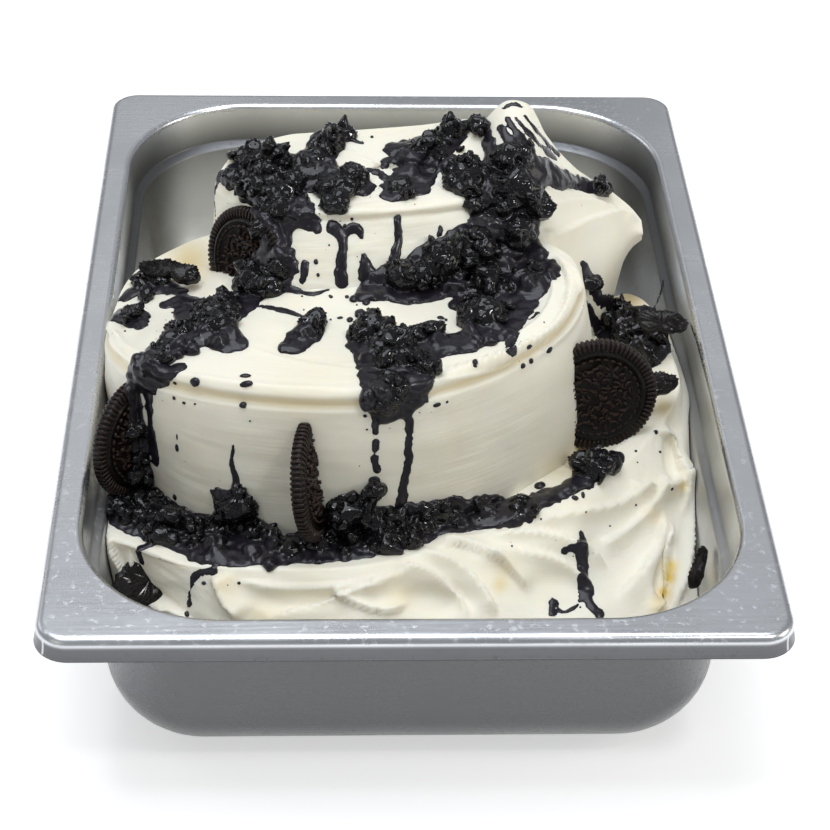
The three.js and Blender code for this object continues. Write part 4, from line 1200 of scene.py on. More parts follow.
class Pour:
    """Distance field of one pour of sauce and its crumbs, cut to the gelato that it lies on."""

    def __init__(self, surface, paths, heaps, covered, seed):
        random = np.random.default_rng(seed)
        self.random = random
        self.spots = [spot for path in paths.values() for spot in follow(surface, path, random)]
        self.covered = [lump for heap in covered for lump in scatter(surface, heap, random)]
        self.lumps = [lump for heap in heaps.values() for lump in scatter(surface, heap, random)]
        places = array([spot[0] for spot in self.spots] + [lump[0] for lump in self.lumps])
        self.low = np.floor((places.min(0) - 16) / VOXEL).astype(int)
        self.shape = np.ceil((places.max(0) + 16) / VOXEL).astype(int) - self.low
        self.ground = np.full(self.shape, 50, np.float32)
        for grid in ground_grids(surface):
            part = np.zeros(self.shape, np.float32)
            grid.copyToArray(part, ijk=tuple(int(v) for v in self.low))
            np.minimum(self.ground, part, out=self.ground)

    def window(self, centre, reach):
        """Slices round a point, and the coordinates in them."""
        first = np.maximum(np.floor((centre - reach) / VOXEL).astype(int) - self.low, 0)
        last = np.minimum(np.ceil((centre + reach) / VOXEL).astype(int) - self.low + 1, self.shape)
        index = tuple(slice(a, b) for a, b in zip(first, last))
        axes = [(np.arange(a, b) + l) * VOXEL for a, b, l in zip(first, last, self.low)]
        return index, np.stack(np.meshgrid(*axes, indexing="ij"), -1)

    def pour(self, thickness, seed, behind=50.0):
        """Fills the field: sauce round the paths, then covered lumps, then soaked crumbs."""
        edge = np.full(self.shape, 9, np.float32)
        width = np.full(self.shape, 3, np.float32)
        for point, normal, radius in self.spots:
            index, place = self.window(point, radius + 3)
            away = np.linalg.norm(place - point, axis=-1) - radius
            away = np.where((place - point) @ normal < -behind, 9, away)
            nearer = away < edge[index]
            edge[index] = np.where(nearer, away, edge[index])
            width[index] = np.where(nearer, radius, width[index])
        band = np.nonzero((edge < 2.6) & (np.abs(self.ground) < 5.4))
        place = (np.stack(band, -1) + self.low) * VOXEL
        size = width[band]
        # a ragged edge, finer on thin runs; thin runs lie flat and wide pools are full
        ragged = 1.5 * soft_noise(place, 5.5, seed) * np.clip(size / 5, 0.2, 1)
        rim = edge[band] + ragged + 1.0 * soft_noise(place, 2.3, seed + 1) * np.clip(size / 3, 0.25, 1)
        full = np.minimum(thickness, 0.17 * size + 0.25 + 0.35 * np.maximum(size - 3, 0)) * (
            1 + 0.5 * soft_noise(place, 8, seed + 2) + 0.35 * soft_noise(place, 3.5, seed + 3))
        swell = full * (1 - np.exp(np.minimum(rim, 0) / (0.35 * np.minimum(size, 5))))
        field = np.full(self.shape, 2, np.float32)
        field[band] = np.clip(np.maximum(self.ground[band] - swell, rim), -2, 2)
        self.field = field
        for centre, radius in self.covered:
            index, place = self.window(centre, radius + 4)
            lump = np.linalg.norm(place - centre, axis=-1) - radius + 0.9 * soft_noise(place, 2.8, seed + 9)
            self.merge(index, lump.astype(np.float32), 1.8)
        self.closeness = np.full(self.shape, 9, np.float32)
        for number, (centre, radius) in enumerate(self.lumps):
            self.add_lump(centre, radius, seed + 10 + number % 5)
        self.field = np.maximum(self.field, -self.ground - SINK)

    def add_lump(self, centre, radius, seed):
        """Adds a crumb that is broken along nine planes."""
        index, place = self.window(centre, radius * 1.35 + 2)
        planes = unit(self.random.normal(size=(9, 3)))
        stretch = self.random.uniform(0.8, 1.3, 3)
        offsets = radius * self.random.uniform(0.66, 1.0, 9)
        local = ((place - centre) / stretch).astype(np.float32)
        lump = np.full(local.shape[:3], -9, np.float32)
        for plane, offset in zip(planes, offsets):
            np.maximum(lump, local @ plane.astype(np.float32) - offset, out=lump)
        round_off = np.linalg.norm(local, axis=-1) - radius * 0.95
        lump = np.maximum(lump, round_off) + 0.8 * soft_noise(place, 2.6, seed)
        self.merge(index, lump, 0.8)
        self.closeness[index] = np.minimum(self.closeness[index], lump)

    def merge(self, index, lump, soft):
        """Adds a lump to the field, with a fillet between them."""
        old = self.field[index]
        share = np.clip(0.5 + 0.5 * (old - lump) / soft, 0, 1)
        self.field[index] = old * (1 - share) + lump * share - soft * share * (1 - share)

    def mesh(self, name):
        """The pour's surface, with a mask of its crumbly parts."""
        grid = openvdb.FloatGrid(2.0)
        grid.transform = openvdb.createLinearTransform(voxelSize=VOXEL)
        grid.copyFromArray(self.field, ijk=tuple(int(v) for v in self.low), tolerance=0.0)
        points, tris, quads = grid.convertToPolygons(isovalue=0.0, adaptivity=0.0)
        cell = np.clip(np.round(points / VOXEL).astype(int) - self.low, 0, self.shape - 1)
        crumbly = smooth_step(0.9, 0.1, self.closeness[cell[:, 0], cell[:, 1], cell[:, 2]])
        a, b, c = (points[quads[:, k]].astype(float) for k in (0, 1, 2))
        if np.einsum("ij,ij->i", a, np.cross(b, c)).sum() < 0:
            quads, tris = quads[:, ::-1], tris[:, ::-1]
        return build_mesh(name, points, quads, tris, masks={"crumbly": crumbly})


def dome_points(steps=6, sides=12):
    """A flattened ball of unit size, as rings from its lowest point up."""
    rings = []
    for step in range(steps):
        angle = -math.pi / 2 + (step + 0.5) / steps * math.pi
        z = math.sin(angle)
        around = np.arange(sides) / sides * 2 * math.pi
        rings.append(np.stack([np.cos(around) * math.cos(angle), np.sin(around) * math.cos(angle),
                               np.full(sides, z)], -1))
    return array(rings)


def make_drops(surface, specks, seed):
    """Loose drops at their places in the picture, and fine specks thrown round the pours."""
    random = np.random.default_rng(seed)
    listed = list(DROPS)
    paths = [*SAUCE_FRONT.values(), *SAUCE_MIDDLE.values(), *SAUCE_BACK.values()]
    for _ in range(specks):
        line = paths[random.integers(len(paths))]
        x, y, _ = line[random.integers(len(line))]
        size = 0.35 + 0.9 * random.random() ** 3
        listed.append([x + random.normal(0, 24), y + random.normal(0, 16), size, size * 0.8])
    ball = dome_points()
    things = []
    per_mm = VIEW["focal"] / VIEW["distance"]
    for x, y, half_x, half_y in listed:
        hit = surface.at(x, y)
        if not hit:
            continue
        point, normal = hit
        across = unit(AXES[0] - normal * (AXES[0] @ normal))
        along = np.cross(normal, across)
        slant = max(0.5, abs(float(along @ AXES[1])))
        wide, long = half_x / per_mm, half_y / per_mm / slant
        shape = ball * (1 + 0.16 * soft_noise(ball * 1.4 + random.uniform(0, 30, 3), 1.0, 5)[..., None])
        high = min(wide, long) * 0.55 + 0.15
        axes = array([across * wide, along * long, normal * high])
        grid = point + shape @ axes
        ends = [grid[:1].mean(1), grid[-1:].mean(1)]
        things.append((np.concatenate([grid.reshape(-1, 3), *ends]), *skin_faces(*grid.shape[:2])))
    start, points, quads, tris = 0, [], [], []
    for p, q, t in things:
        points.append(p)
        quads.append(q + start)
        tris.append(t + start)
        start += len(p)
    return build_mesh("sauce_drops", np.concatenate(points), np.concatenate(quads), np.concatenate(tris),
                      masks={"crumbly": np.zeros(start)})


# ---------- copies made by Geometry Nodes ----------


class Recipe(NodeTree):
    """A Geometry Nodes tree with named inputs."""

    def __init__(self, name, sockets):
        self.tree = bpy.data.node_groups.new(name, "GeometryNodeTree")
        self.keys = {}
        for label, kind, value in sockets:
            socket = self.tree.interface.new_socket(label, in_out="INPUT", socket_type=kind)
            if value is not None:
                socket.default_value = value
            self.keys[label] = socket.identifier
        self.tree.interface.new_socket("Geometry", in_out="OUTPUT", socket_type="NodeSocketGeometry")
        self.start = self.tree.nodes.new("NodeGroupInput")
        self.end = self.tree.nodes.new("NodeGroupOutput")

    def shape(self, copy, **settings):
        """The geometry of an object that is an input."""
        return self.add("GeometryNodeObjectInfo", {"Object": copy}, **settings).outputs["Geometry"]

    def close(self, points, shape, rotation, inputs=()):
        """The shape on the points, as real geometry with its material, as the result."""
        copies = self.add("GeometryNodeInstanceOnPoints", {
            "Points": points, "Instance": shape, "Rotation": rotation, **dict(inputs),
        })
        real = self.add("GeometryNodeRealizeInstances", {"Geometry": copies.outputs[0]})
        given = {"Geometry": real.outputs[0], "Material": self.start.outputs["Material"]}
        paint = self.add("GeometryNodeSetMaterial", given)
        self.tree.links.new(paint.outputs[0], self.end.inputs[0])

    def bake(self, name, carrier, values):
        """Runs the tree on a carrier object and returns its result as a plain mesh object."""
        modifier = carrier.modifiers.new(name, "NODES")
        modifier.node_group = self.tree
        for label, value in values.items():
            modifier[self.keys[label]] = value
        bpy.context.view_layer.update()
        graph = bpy.context.evaluated_depsgraph_get()
        mesh = bpy.data.meshes.new_from_object(carrier.evaluated_get(graph), depsgraph=graph)
        carrier.modifiers.remove(modifier)
        mesh.name = name
        thing = bpy.data.objects.new(name, mesh)
        bpy.context.scene.collection.objects.link(thing)
        return thing


def drop_object(thing):
    """Removes a helper object and its mesh."""
    mesh = thing.data
    bpy.data.objects.remove(thing)
    bpy.data.meshes.remove(mesh)


GOLDEN_ANGLE = 2.39996


def ring_recipe():
    """Copies of an object, turned in equal steps about the Z axis."""
    recipe = Recipe("Ring of copies", [
        ("Geometry", "NodeSocketGeometry", None), ("Copy", "NodeSocketObject", None),
        ("Count", "NodeSocketInt", 12), ("Material", "NodeSocketMaterial", None),
    ])
    given = recipe.start.outputs
    points = recipe.add("GeometryNodeMeshLine", {"Count": given["Count"], "Offset": (0, 0, 0)})
    index = recipe.add("GeometryNodeInputIndex").outputs[0]
    angle = recipe.math("MULTIPLY", recipe.math("DIVIDE", index, given["Count"]), 2 * math.pi)
    turn = recipe.add("ShaderNodeCombineXYZ", {"Z": angle})
    shape = recipe.shape(given["Copy"], transform_space="ORIGINAL")
    recipe.close(points.outputs[0], shape, turn.outputs[0])
    return recipe


def spiral_recipe():
    """Copies of an object in a sunflower spiral about the Z axis, each with its own turn."""
    recipe = Recipe("Spiral of copies", [
        ("Geometry", "NodeSocketGeometry", None), ("Copy", "NodeSocketObject", None),
        ("Count", "NodeSocketInt", 40), ("Reach", "NodeSocketFloat", 0.01), ("Seed", "NodeSocketInt", 1),
        ("Material", "NodeSocketMaterial", None),
    ])
    given = recipe.start.outputs
    points = recipe.add("GeometryNodeMeshLine", {"Count": given["Count"], "Offset": (0, 0, 0)})
    index = recipe.add("GeometryNodeInputIndex").outputs[0]
    share = recipe.math("DIVIDE", recipe.math("ADD", index, 0.6), given["Count"])
    reach = recipe.math("MULTIPLY", recipe.math("POWER", share, 0.5), given["Reach"])
    angle = recipe.math("MULTIPLY", index, GOLDEN_ANGLE)
    waves = {axis: recipe.math(kind, angle) for axis, kind in (("X", "COSINE"), ("Y", "SINE"))}
    place = recipe.add("ShaderNodeCombineXYZ", {
        axis: recipe.math("MULTIPLY", wave, reach) for axis, wave in waves.items()
    })
    moved = recipe.add("GeometryNodeSetPosition", {
        "Geometry": points.outputs[0], "Position": place.outputs[0],
    })
    chance = recipe.add("FunctionNodeRandomValue", {"Seed": given["Seed"]}, data_type="FLOAT")
    spin = recipe.add("ShaderNodeCombineXYZ", {"Z": recipe.math("MULTIPLY", chance.outputs[1], 2 * math.pi)})
    shape = recipe.shape(given["Copy"], transform_space="ORIGINAL")
    recipe.close(moved.outputs[0], shape, spin.outputs[0])
    return recipe


def crumb_recipe():
    """Broken crumbs strewn over the crumbly parts of a pour, no two nearer than the spacing."""
    recipe = Recipe("Strewn crumbs", [
        ("Geometry", "NodeSocketGeometry", None), ("First crumb", "NodeSocketObject", None),
        ("Second crumb", "NodeSocketObject", None), ("Third crumb", "NodeSocketObject", None),
        ("Spacing", "NodeSocketFloat", 0.003), ("Bare", "NodeSocketFloat", 0.4),
        ("Smallest", "NodeSocketFloat", 0.4), ("Largest", "NodeSocketFloat", 1.2),
        ("Seed", "NodeSocketInt", 1), ("Material", "NodeSocketMaterial", None),
    ])
    given = recipe.start.outputs
    mask = recipe.add("GeometryNodeInputNamedAttribute", {"Name": "crumbly"}, data_type="FLOAT")
    up = recipe.add("GeometryNodeInputNormal")
    lift = recipe.add("ShaderNodeSeparateXYZ", {0: up.outputs[0]})
    shown = recipe.add("FunctionNodeCompare", {0: lift.outputs["Z"], 1: -0.2}, data_type="FLOAT",
                       operation="GREATER_THAN")
    noise = recipe.add("ShaderNodeTexNoise", {"Scale": 190.0, "Detail": 1.0})
    patch = recipe.add("ShaderNodeMapRange", {
        "Value": noise.outputs[0], "From Min": given["Bare"], "From Max": 0.62,
    })
    points = recipe.add("GeometryNodeDistributePointsOnFaces", {
        "Mesh": given["Geometry"], "Selection": shown.outputs[0], "Distance Min": given["Spacing"],
        "Density Max": 2000000.0, "Seed": given["Seed"],
        "Density Factor": recipe.math("MULTIPLY", mask.outputs[0], patch.outputs[0]),
    }, distribute_method="POISSON")
    shapes = recipe.add("GeometryNodeJoinGeometry")
    for label in ("Third crumb", "Second crumb", "First crumb"):
        shape = recipe.add("GeometryNodeObjectInfo", {"Object": given[label], "As Instance": True})
        recipe.tree.links.new(shape.outputs["Geometry"], shapes.inputs[0])
    turn = recipe.add("FunctionNodeRandomValue", {
        "Max": (6.3, 6.3, 6.3), "Seed": given["Seed"],
    }, data_type="FLOAT_VECTOR")
    chance = recipe.add("FunctionNodeRandomValue", {"Seed": given["Seed"]}, data_type="FLOAT")
    size = recipe.add("ShaderNodeMapRange", {
        "Value": recipe.math("POWER", chance.outputs[1], 2.2),
        "To Min": given["Smallest"], "To Max": given["Largest"],
    })
    recipe.close(points.outputs[0], shapes.outputs[0], turn.outputs[0],
                 {"Pick Instance": True, "Scale": size.outputs[0]})
    return recipe


def make_crumb_shape(number, long, rings, sides):
    """An angular crumb of about 2 mm, broken along a few planes."""
    random = np.random.default_rng(70 + number)
    ball = dome_points(rings, sides)
    planes = unit(random.normal(size=(11, 3)))
    offsets = random.uniform(0.7, 1.0, 11)
    facing = np.maximum(ball @ planes.T, 0.05)
    reach = np.minimum((offsets / facing).min(-1), 1.25)
    ball = ball * reach[..., None] * (1 + 0.1 * soft_noise(ball * 3.1 + number * 4, 1.0, 71)[..., None])
    return skin("crumb_shape", ball * array([long, 1, 0.75]))


# ---------- biscuits ----------


def aim(faces, turn=0):
    """Rotation that turns +Z to a direction, after a turn in degrees about +Z."""
    quaternion = Vector((0, 0, 1)).rotation_difference(Vector(faces).normalized())
    return array(quaternion.to_matrix() @ Matrix.Rotation(math.radians(turn), 3, "Z"))


def disc_grid(profile, sides):
    """Rings about the Z axis through a profile of radius and height."""
    around = np.arange(sides) / sides * 2 * math.pi
    return array([
        np.stack([np.cos(around) * r, np.sin(around) * r, np.full(sides, z)], -1) for r, z in profile
    ])


def make_wafer(sides=180):
    """A round wafer with a raised middle, a groove, and a lower band for the ribs."""
    half = BISCUIT["thickness"] / 2
    face = [[0.6, half - 0.35], [8.0, half - 0.35],
            [16.6, half - 0.35], [16.9, half + 0.1], [17.6, half + 0.1], [18.0, half - 0.6],
            [20.9, half - 0.5], [21.5, half - 0.75], [21.75, half - 1.2]]
    profile = [[r, -z] for r, z in face] + [[21.8, -0.5], [21.8, 0.5]] + face[::-1]
    grid = disc_grid(profile, sides)
    grid += 0.09 * grid_normals(grid) * soft_noise(grid, 2.2, 81)[..., None]
    return skin("wafer", grid)


def make_rib():
    """One rib, bent round the wafer's edge from face to face."""
    half = BISCUIT["thickness"] / 2
    line = [[18.3, half - 0.42], [19.4, half - 0.28], [20.6, half - 0.3], [21.4, half - 0.55],
            [21.85, half - 1.1], [21.95, 0.6]]
    line = array(line + [[r, -z] for r, z in line[::-1]])[::-1]
    along = unit(np.gradient(line, axis=0))
    out = np.stack([along[:, 1], -along[:, 0]], 1)
    rings = []
    for place, side, share in zip(line, out, np.linspace(-1, 1, len(line))):
        wide = 0.66 * (1 - 0.5 * abs(share) ** 4)
        ring = []
        for step in range(8):
            angle = step / 8 * 2 * math.pi
            r, z = place + side * 0.5 * math.sin(angle)
            ring.append([r, wide * math.cos(angle), z])
        rings.append(ring)
    # The raised mask sets the rib's painted highlight.
    return skin("rib", array(rings), {"raised": np.full((len(rings), 8), 0.6)})


def make_stroke(radius, bend, curl, wide, high):
    """A raised stroke for both faces: an arc with the radius curl, at a distance from the middle."""
    level = BISCUIT["thickness"] / 2 - 0.4
    both = []
    for side in (1, -1):
        rings = []
        for share in np.linspace(-0.96, 0.96, 9):
            angle = share * bend
            middle = array([radius + curl * (math.cos(angle) - 0.7), curl * math.sin(angle), side * level])
            out = array([math.cos(angle), math.sin(angle), 0])
            full = math.sqrt(1 - share * share) * 0.7 + 0.3
            around = np.arange(8) / 8 * 2 * math.pi
            rings.append(middle + full * (np.outer(np.cos(around) * wide / 2, out)
                                          + np.outer(np.sin(around) * high, [0, 0, 1])))
        grid = array(rings)[::-1]
        # The raised mask sets the stroke's painted highlight.
        both.append(skin("stroke", grid, {"raised": np.ones(grid.shape[:2])}))
    return join("stroke", both)


def make_biscuit_master(material):
    """One whole biscuit, lying flat: wafer, ribs, a ring of short strokes, and strewn strokes."""
    ring = ring_recipe()
    parts = [make_wafer()]
    rings = [(make_rib(), BISCUIT["ribs"]), (make_stroke(15.0, 0.9, 1.2, 0.75, 1.1), 34)]
    for shape, count in rings:
        parts.append(ring.bake("ring", parts[0], {"Copy": shape, "Count": count, "Material": material}))
        drop_object(shape)
    strewn = spiral_recipe()
    for bend, curl, count, reach, seed in (
        (1.3, 1.7, 32, 12.2, 4), (0.5, 2.6, 47, 13.4, 9), (2.2, 0.7, 21, 13.0, 12),
    ):
        stroke = make_stroke(0, bend, curl, 0.9, 1.25)
        parts.append(strewn.bake("strokes", parts[0], {
            "Copy": stroke, "Count": count, "Reach": reach * MM, "Seed": seed, "Material": material,
        }))
        drop_object(stroke)
    return join("biscuit_master", parts)


def make_shard(place, seed):
    """A broken piece of wafer: a rough plate with ribs left along one edge."""
    corners = array([[1, 0.1], [0.6, 0.85], [-0.1, 1], [-0.8, 0.7], [-1, -0.2], [-0.4, -0.95], [0.7, -0.7]])
    outline = ring_curve(np.column_stack([corners * array(place["half"]), corners[:, 0] * 0]), 84)
    half = SHARD_THICKNESS / 2
    rings = []
    profile = [[0.1, -half], [0.5, -half], [0.85, -half], [0.97, -half * 0.7], [1.0, 0], [0.97, half * 0.7],
               [0.85, half], [0.5, half * 1.02], [0.1, half]]
    for share, z in profile:
        rings.append(outline * array([share, share, 0]) + array([0, 0, z]))
    grid = array(rings)
    step = np.arange(84)
    ribs = 0.4 * np.maximum(0, np.sin(step / 84 * 2 * math.pi * 21)) * (step < 46)
    grid = grid + grid_normals(grid) * (ribs[None] * array([0, 0, 1, 1, 1, 1, 1, 0, 0])[:, None])[..., None]
    lumpy = 0.8 * soft_noise(grid + seed * 9.0, 3.4, seed) + 0.4 * soft_noise(grid + seed * 5.0, 1.5, seed)
    grid += grid_normals(grid) * lumpy[..., None]
    grid = grid @ aim(place["faces"], place["turn"]).T + array(place["centre"])
    return skin("shard", grid)


# ---------- camera, light and floor ----------

COOL, WHITE, WARM = (0.93, 0.97, 1.04), (1, 1, 1), (1.0, 0.95, 0.84)
HEAP = (0, 0, 0.1)
SKY_STRENGTH = 0.3
FLOOR_REACH = 4000
# Name, place, target, size, share of the main light's power, and colour.
LIGHTS = [
    ("Overhead", (-0.1, 0.1, 1.2), (0, 0, 0.08), (0.9, 0.8), 1, COOL),
    ("Front left", (-1.1, -1.3, 0.9), (0, -0.05, 0.08), (0.9, 0.7), 0.17, WARM),
    ("Right", (1.5, -0.4, 0.8), (0, -0.05, 0.08), (0.7, 0.6), 0.55, WARM),
    ("Small left", (-0.45, -0.35, 1.25), HEAP, (0.13, 0.13), 0.2, COOL),
    ("Small right", (0.5, -0.6, 1.1), HEAP, (0.13, 0.13), 0.3, WHITE),
    ("Left card", (-1.6, 0.9, 1.0), HEAP, (1.1, 0.7), 0.3, WHITE),
    ("Back card", (0.1, 1.5, 1.5), HEAP, (2.2, 0.8), 0.04, WHITE),
    ("Back left card", (-0.35, 1.7, 1.25), HEAP, (0.7, 0.6), 0.06, WHITE),
    ("Back right card", (0.6, 1.7, 1.25), HEAP, (0.5, 0.6), 0.04, WHITE),
]


def make_camera():
    camera = bpy.data.cameras.new("Camera")
    camera.sensor_width = 36
    camera.lens = VIEW["focal"] / VIEW["picture"] * camera.sensor_width
    camera.clip_end = 20
    thing = bpy.data.objects.new("Camera", camera)
    right, down, forward = AXES
    thing.matrix_world = Matrix.Translation(Vector(EYE * MM)) @ Matrix(
        np.column_stack([right, -down, -forward]).tolist()
    ).to_4x4()
    bpy.context.scene.collection.objects.link(thing)
    bpy.context.scene.camera = thing


def make_light(name, place, target, size, power, colour):
    light = bpy.data.lights.new(name, "AREA")
    light.shape = "RECTANGLE"
    light.size, light.size_y = size
    light.energy = power
    light.color = colour
    thing = bpy.data.objects.new(name, light)
    thing.location = place
    thing.rotation_euler = (Vector(target) - Vector(place)).to_track_quat("-Z", "Y").to_euler()
    bpy.context.scene.collection.objects.link(thing)


def make_sky():
    world = bpy.data.worlds.new("Studio")
    world.use_nodes = True
    back = world.node_tree.nodes["Background"]
    back.inputs["Color"].default_value = (0.93, 0.96, 1.0, 1)
    back.inputs["Strength"].default_value = SKY_STRENGTH
    bpy.context.scene.world = world
    bpy.context.scene.view_settings.view_transform = "Standard"


# ---------- settings ----------


class TubPanSettings(bpy.types.PropertyGroup):
    """Settings of the steel pan"""

    colour: FloatVectorProperty(
        name="Steel colour", description="Colour that the steel reflects", subtype="COLOR",
        size=4, min=0, max=1, default=(0.76, 0.775, 0.80, 1),
    )


class TubGelatoSettings(bpy.types.PropertyGroup):
    """Settings of the swept gelato"""

    colour: FloatVectorProperty(
        name="Cream colour", description="Colour of the gelato", subtype="COLOR",
        size=4, min=0, max=1, default=(0.90, 0.86, 0.725, 1),
    )
    # Colour of the painted shade in the folds, hollows and groove.
    shade_tint: FloatVectorProperty(
        name="Hollow shade", description="Painted warm shade in the folds and hollows", subtype="COLOR",
        size=4, min=0, max=1, default=(0.70, 0.48, 0.05, 1),
    )


class TubSauceSettings(bpy.types.PropertyGroup):
    """Settings of the dark sauce and its crumbs"""

    colour: FloatVectorProperty(
        name="Sauce colour", description="Colour of the sauce and the soaked crumbs", subtype="COLOR",
        size=4, min=0, max=1, default=(0.0095, 0.008, 0.0115, 1),
    )
    thickness: FloatProperty(
        name="Thickness", description="Depth of the sauce where it is full", unit="LENGTH",
        default=0.0019, min=0.0005, max=0.005, precision=4,
    )
    specks: IntProperty(
        name="Specks", description="Fine specks round the pours", default=150, min=0, max=600,
    )
    seed: IntProperty(name="Seed", description="Seed of the crumbs and specks", default=5, min=0)


class TubBiscuitSettings(bpy.types.PropertyGroup):
    """Settings of the biscuits"""

    colour: FloatVectorProperty(
        name="Biscuit colour", description="Colour of the cocoa biscuit", subtype="COLOR",
        size=4, min=0, max=1, default=(0.0085, 0.0048, 0.0034, 1),
    )


class TubStageSettings(bpy.types.PropertyGroup):
    """Settings of the studio"""

    floor: FloatVectorProperty(
        name="Floor colour", description="Colour of the plain floor", subtype="COLOR",
        size=4, min=0, max=1, default=(0.86, 0.86, 0.86, 1),
    )
    power: FloatProperty(
        name="Light power", description="Power of the main light in watts", default=7.9, min=0,
    )


SETTINGS = {
    "tub_pan": TubPanSettings, "tub_gelato": TubGelatoSettings, "tub_sauce": TubSauceSettings,
    "tub_biscuit": TubBiscuitSettings, "tub_stage": TubStageSettings,
}

# ---------- operators ----------


class TUB_OT_stage(bpy.types.Operator):
    """Sets the camera, the soft light and the pale floor"""

    bl_idname = "tub.stage"
    bl_label = "Camera, light and floor"

    def execute(self, context):
        settings = context.scene.tub_stage
        make_camera()
        make_sky()
        for name, place, target, size, share, colour in LIGHTS:
            make_light(name, place, target, size, settings.power * share, colour)
        corners = array([[-1, -1, 0], [1, -1, 0], [1, 1, 0], [-1, 1, 0]]) * FLOOR_REACH
        floor = build_mesh("floor", corners, [[0, 1, 2, 3]])
        floor.data.materials.append(floor_finish(settings.floor))
        return {"FINISHED"}


class TUB_OT_pan(bpy.types.Operator):
    """Presses the steel pan"""

    bl_idname = "tub.pan"
    bl_label = "Display pan"

    def execute(self, context):
        finish_piece(make_pan(), steel_finish(context.scene.tub_pan.colour), "pan")
        return {"FINISHED"}


class TUB_OT_gelato(bpy.types.Operator):
    """Sweeps the bands of gelato into the pan"""

    bl_idname = "tub.gelato"
    bl_label = "Gelato"

    def execute(self, context):
        settings = context.scene.tub_gelato
        cream = cream_finish(settings.colour, settings.shade_tint)
        for make in (make_lower_band, make_middle_band, make_back_band, make_fold):
            finish_piece(make(), cream, "gelato")
        return {"FINISHED"}


class TUB_OT_sauce(bpy.types.Operator):
    """Pours the sauce, with its soaked crumbs, drops and specks, over the gelato"""

    bl_idname = "tub.sauce"
    bl_label = "Sauce and crumbs"

    def execute(self, context):
        settings = context.scene.tub_sauce
        finish = sauce_finish("Dark sauce", settings.colour)
        soaked = sauce_finish("Soaked crumbs", settings.colour, 1.0)
        bands = [o for o in context.scene.objects if o.name.startswith("gelato_")]
        if not bands:
            raise RuntimeError("the sauce needs the gelato first")
        surface = Surface([*bands, frame["nodes"]["biscuit_back"], frame["nodes"]["biscuit_left"]])
        recipe = crumb_recipe()
        chunks = [make_crumb_shape(number, long, 7, 12) for number, long in enumerate((1.3, 1.0, 1.7))]
        grains = [make_crumb_shape(3 + number, 1.1, 3, 6) for number in range(3)]
        pours = {
            "front": (SAUCE_FRONT, CRUMBS_FRONT, COVERED_FRONT),
            "middle": (SAUCE_MIDDLE, CRUMBS_MIDDLE, COVERED_MIDDLE),
            "back": (SAUCE_BACK, CRUMBS_BACK, COVERED_BACK),
        }
        for number, (name, given) in enumerate(pours.items()):
            pour = Pour(surface, *given, settings.seed + number)
            pour.pour(settings.thickness / MM, settings.seed + 20 * number)
            sauce = press_to_wall(pour.mesh("sauce_" + name))
            strewn = []
            for shapes, spacing, bare, smallest, largest in (
                (chunks, 0.0034, 0.38, 0.5, 2.7), (grains, 0.0014, 0.3, 0.3, 0.65),
            ):
                strewn.append(recipe.bake("crumbs_" + name, sauce, {
                    "First crumb": shapes[0], "Second crumb": shapes[1], "Third crumb": shapes[2],
                    "Spacing": spacing, "Bare": bare, "Smallest": smallest, "Largest": largest,
                    "Seed": settings.seed + number, "Material": soaked,
                }))
            finish_piece(sauce, finish, "gelato")
            finish_piece(press_to_wall(join("crumbs_" + name, strewn)), soaked, "gelato")
        for shape in chunks + grains:
            drop_object(shape)
        finish_piece(make_drops(surface, settings.specks, settings.seed), finish, "gelato")
        smears = Pour(Surface([bpy.data.objects["pan_sheet"]]), SAUCE_SMEARS, {}, [], 8)
        smears.pour(0.7, settings.seed, behind=0.8)
        finish_piece(press_to_wall(smears.mesh("sauce_smears")), finish, "pan")
        return {"FINISHED"}


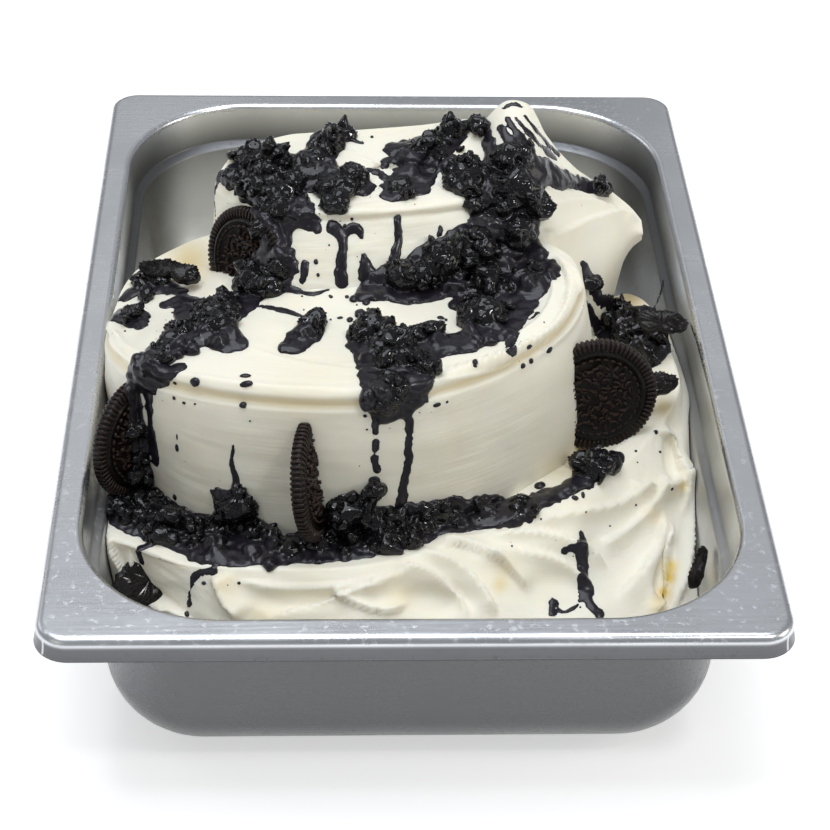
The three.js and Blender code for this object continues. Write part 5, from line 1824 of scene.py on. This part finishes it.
class TUB_OT_biscuits(bpy.types.Operator):
    """Makes the round ribbed biscuits and sets them in the gelato"""

    bl_idname = "tub.biscuits"
    bl_label = "Biscuits"

    def execute(self, context):
        finish = biscuit_finish(context.scene.tub_biscuit.colour)
        master = make_biscuit_master(finish)
        for name, place in BISCUITS.items():
            mesh = master.data.copy()
            turn = Matrix(aim(place["faces"]).tolist()).to_4x4()
            mesh.transform(Matrix.Translation(Vector(place["centre"]) * MM) @ turn)
            thing = bpy.data.objects.new(name + "_ribbed", mesh)
            context.scene.collection.objects.link(thing)
            finish_piece(thing, finish, name)
        drop_object(master)
        return {"FINISHED"}


class TUB_OT_shards(bpy.types.Operator):
    """Breaks off the larger pieces of biscuit"""

    bl_idname = "tub.shards"
    bl_label = "Broken biscuit"

    def execute(self, context):
        finish = soaked_finish(context.scene.tub_biscuit.colour)
        for number, (name, place) in enumerate(SHARDS.items()):
            shard = make_shard(place, 90 + number)
            shard.name = name + "_broken"
            finish_piece(shard, finish, name)
        return {"FINISHED"}


OPERATORS = (TUB_OT_stage, TUB_OT_pan, TUB_OT_gelato, TUB_OT_sauce, TUB_OT_biscuits, TUB_OT_shards)


class TUB_PT_sidebar(bpy.types.Panel):
    """Lists the tub's pieces and their settings"""

    bl_idname = "TUB_PT_sidebar"
    bl_label = "Tub of gelato"
    bl_space_type = "VIEW_3D"
    bl_region_type = "UI"
    bl_category = "Gelato"

    def draw(self, context):
        for operator in OPERATORS:
            self.layout.operator(operator.bl_idname)
        for name, group in SETTINGS.items():
            for key in group.__annotations__:
                self.layout.prop(getattr(context.scene, name), key)


def register():
    for group in (*SETTINGS.values(), *OPERATORS, TUB_PT_sidebar):
        bpy.utils.register_class(group)
    for name, group in SETTINGS.items():
        setattr(bpy.types.Scene, name, PointerProperty(type=group))


def unregister():
    for name in SETTINGS:
        delattr(bpy.types.Scene, name)
    for group in (TUB_PT_sidebar, *OPERATORS[::-1], *SETTINGS.values()):
        bpy.utils.unregister_class(group)


def main():
    register()
    bpy.ops.tub.stage()
    bpy.ops.tub.pan()
    bpy.ops.tub.gelato()
    bpy.ops.tub.sauce()
    bpy.ops.tub.biscuits()
    bpy.ops.tub.shards()


if __name__ == "__main__":
    main()
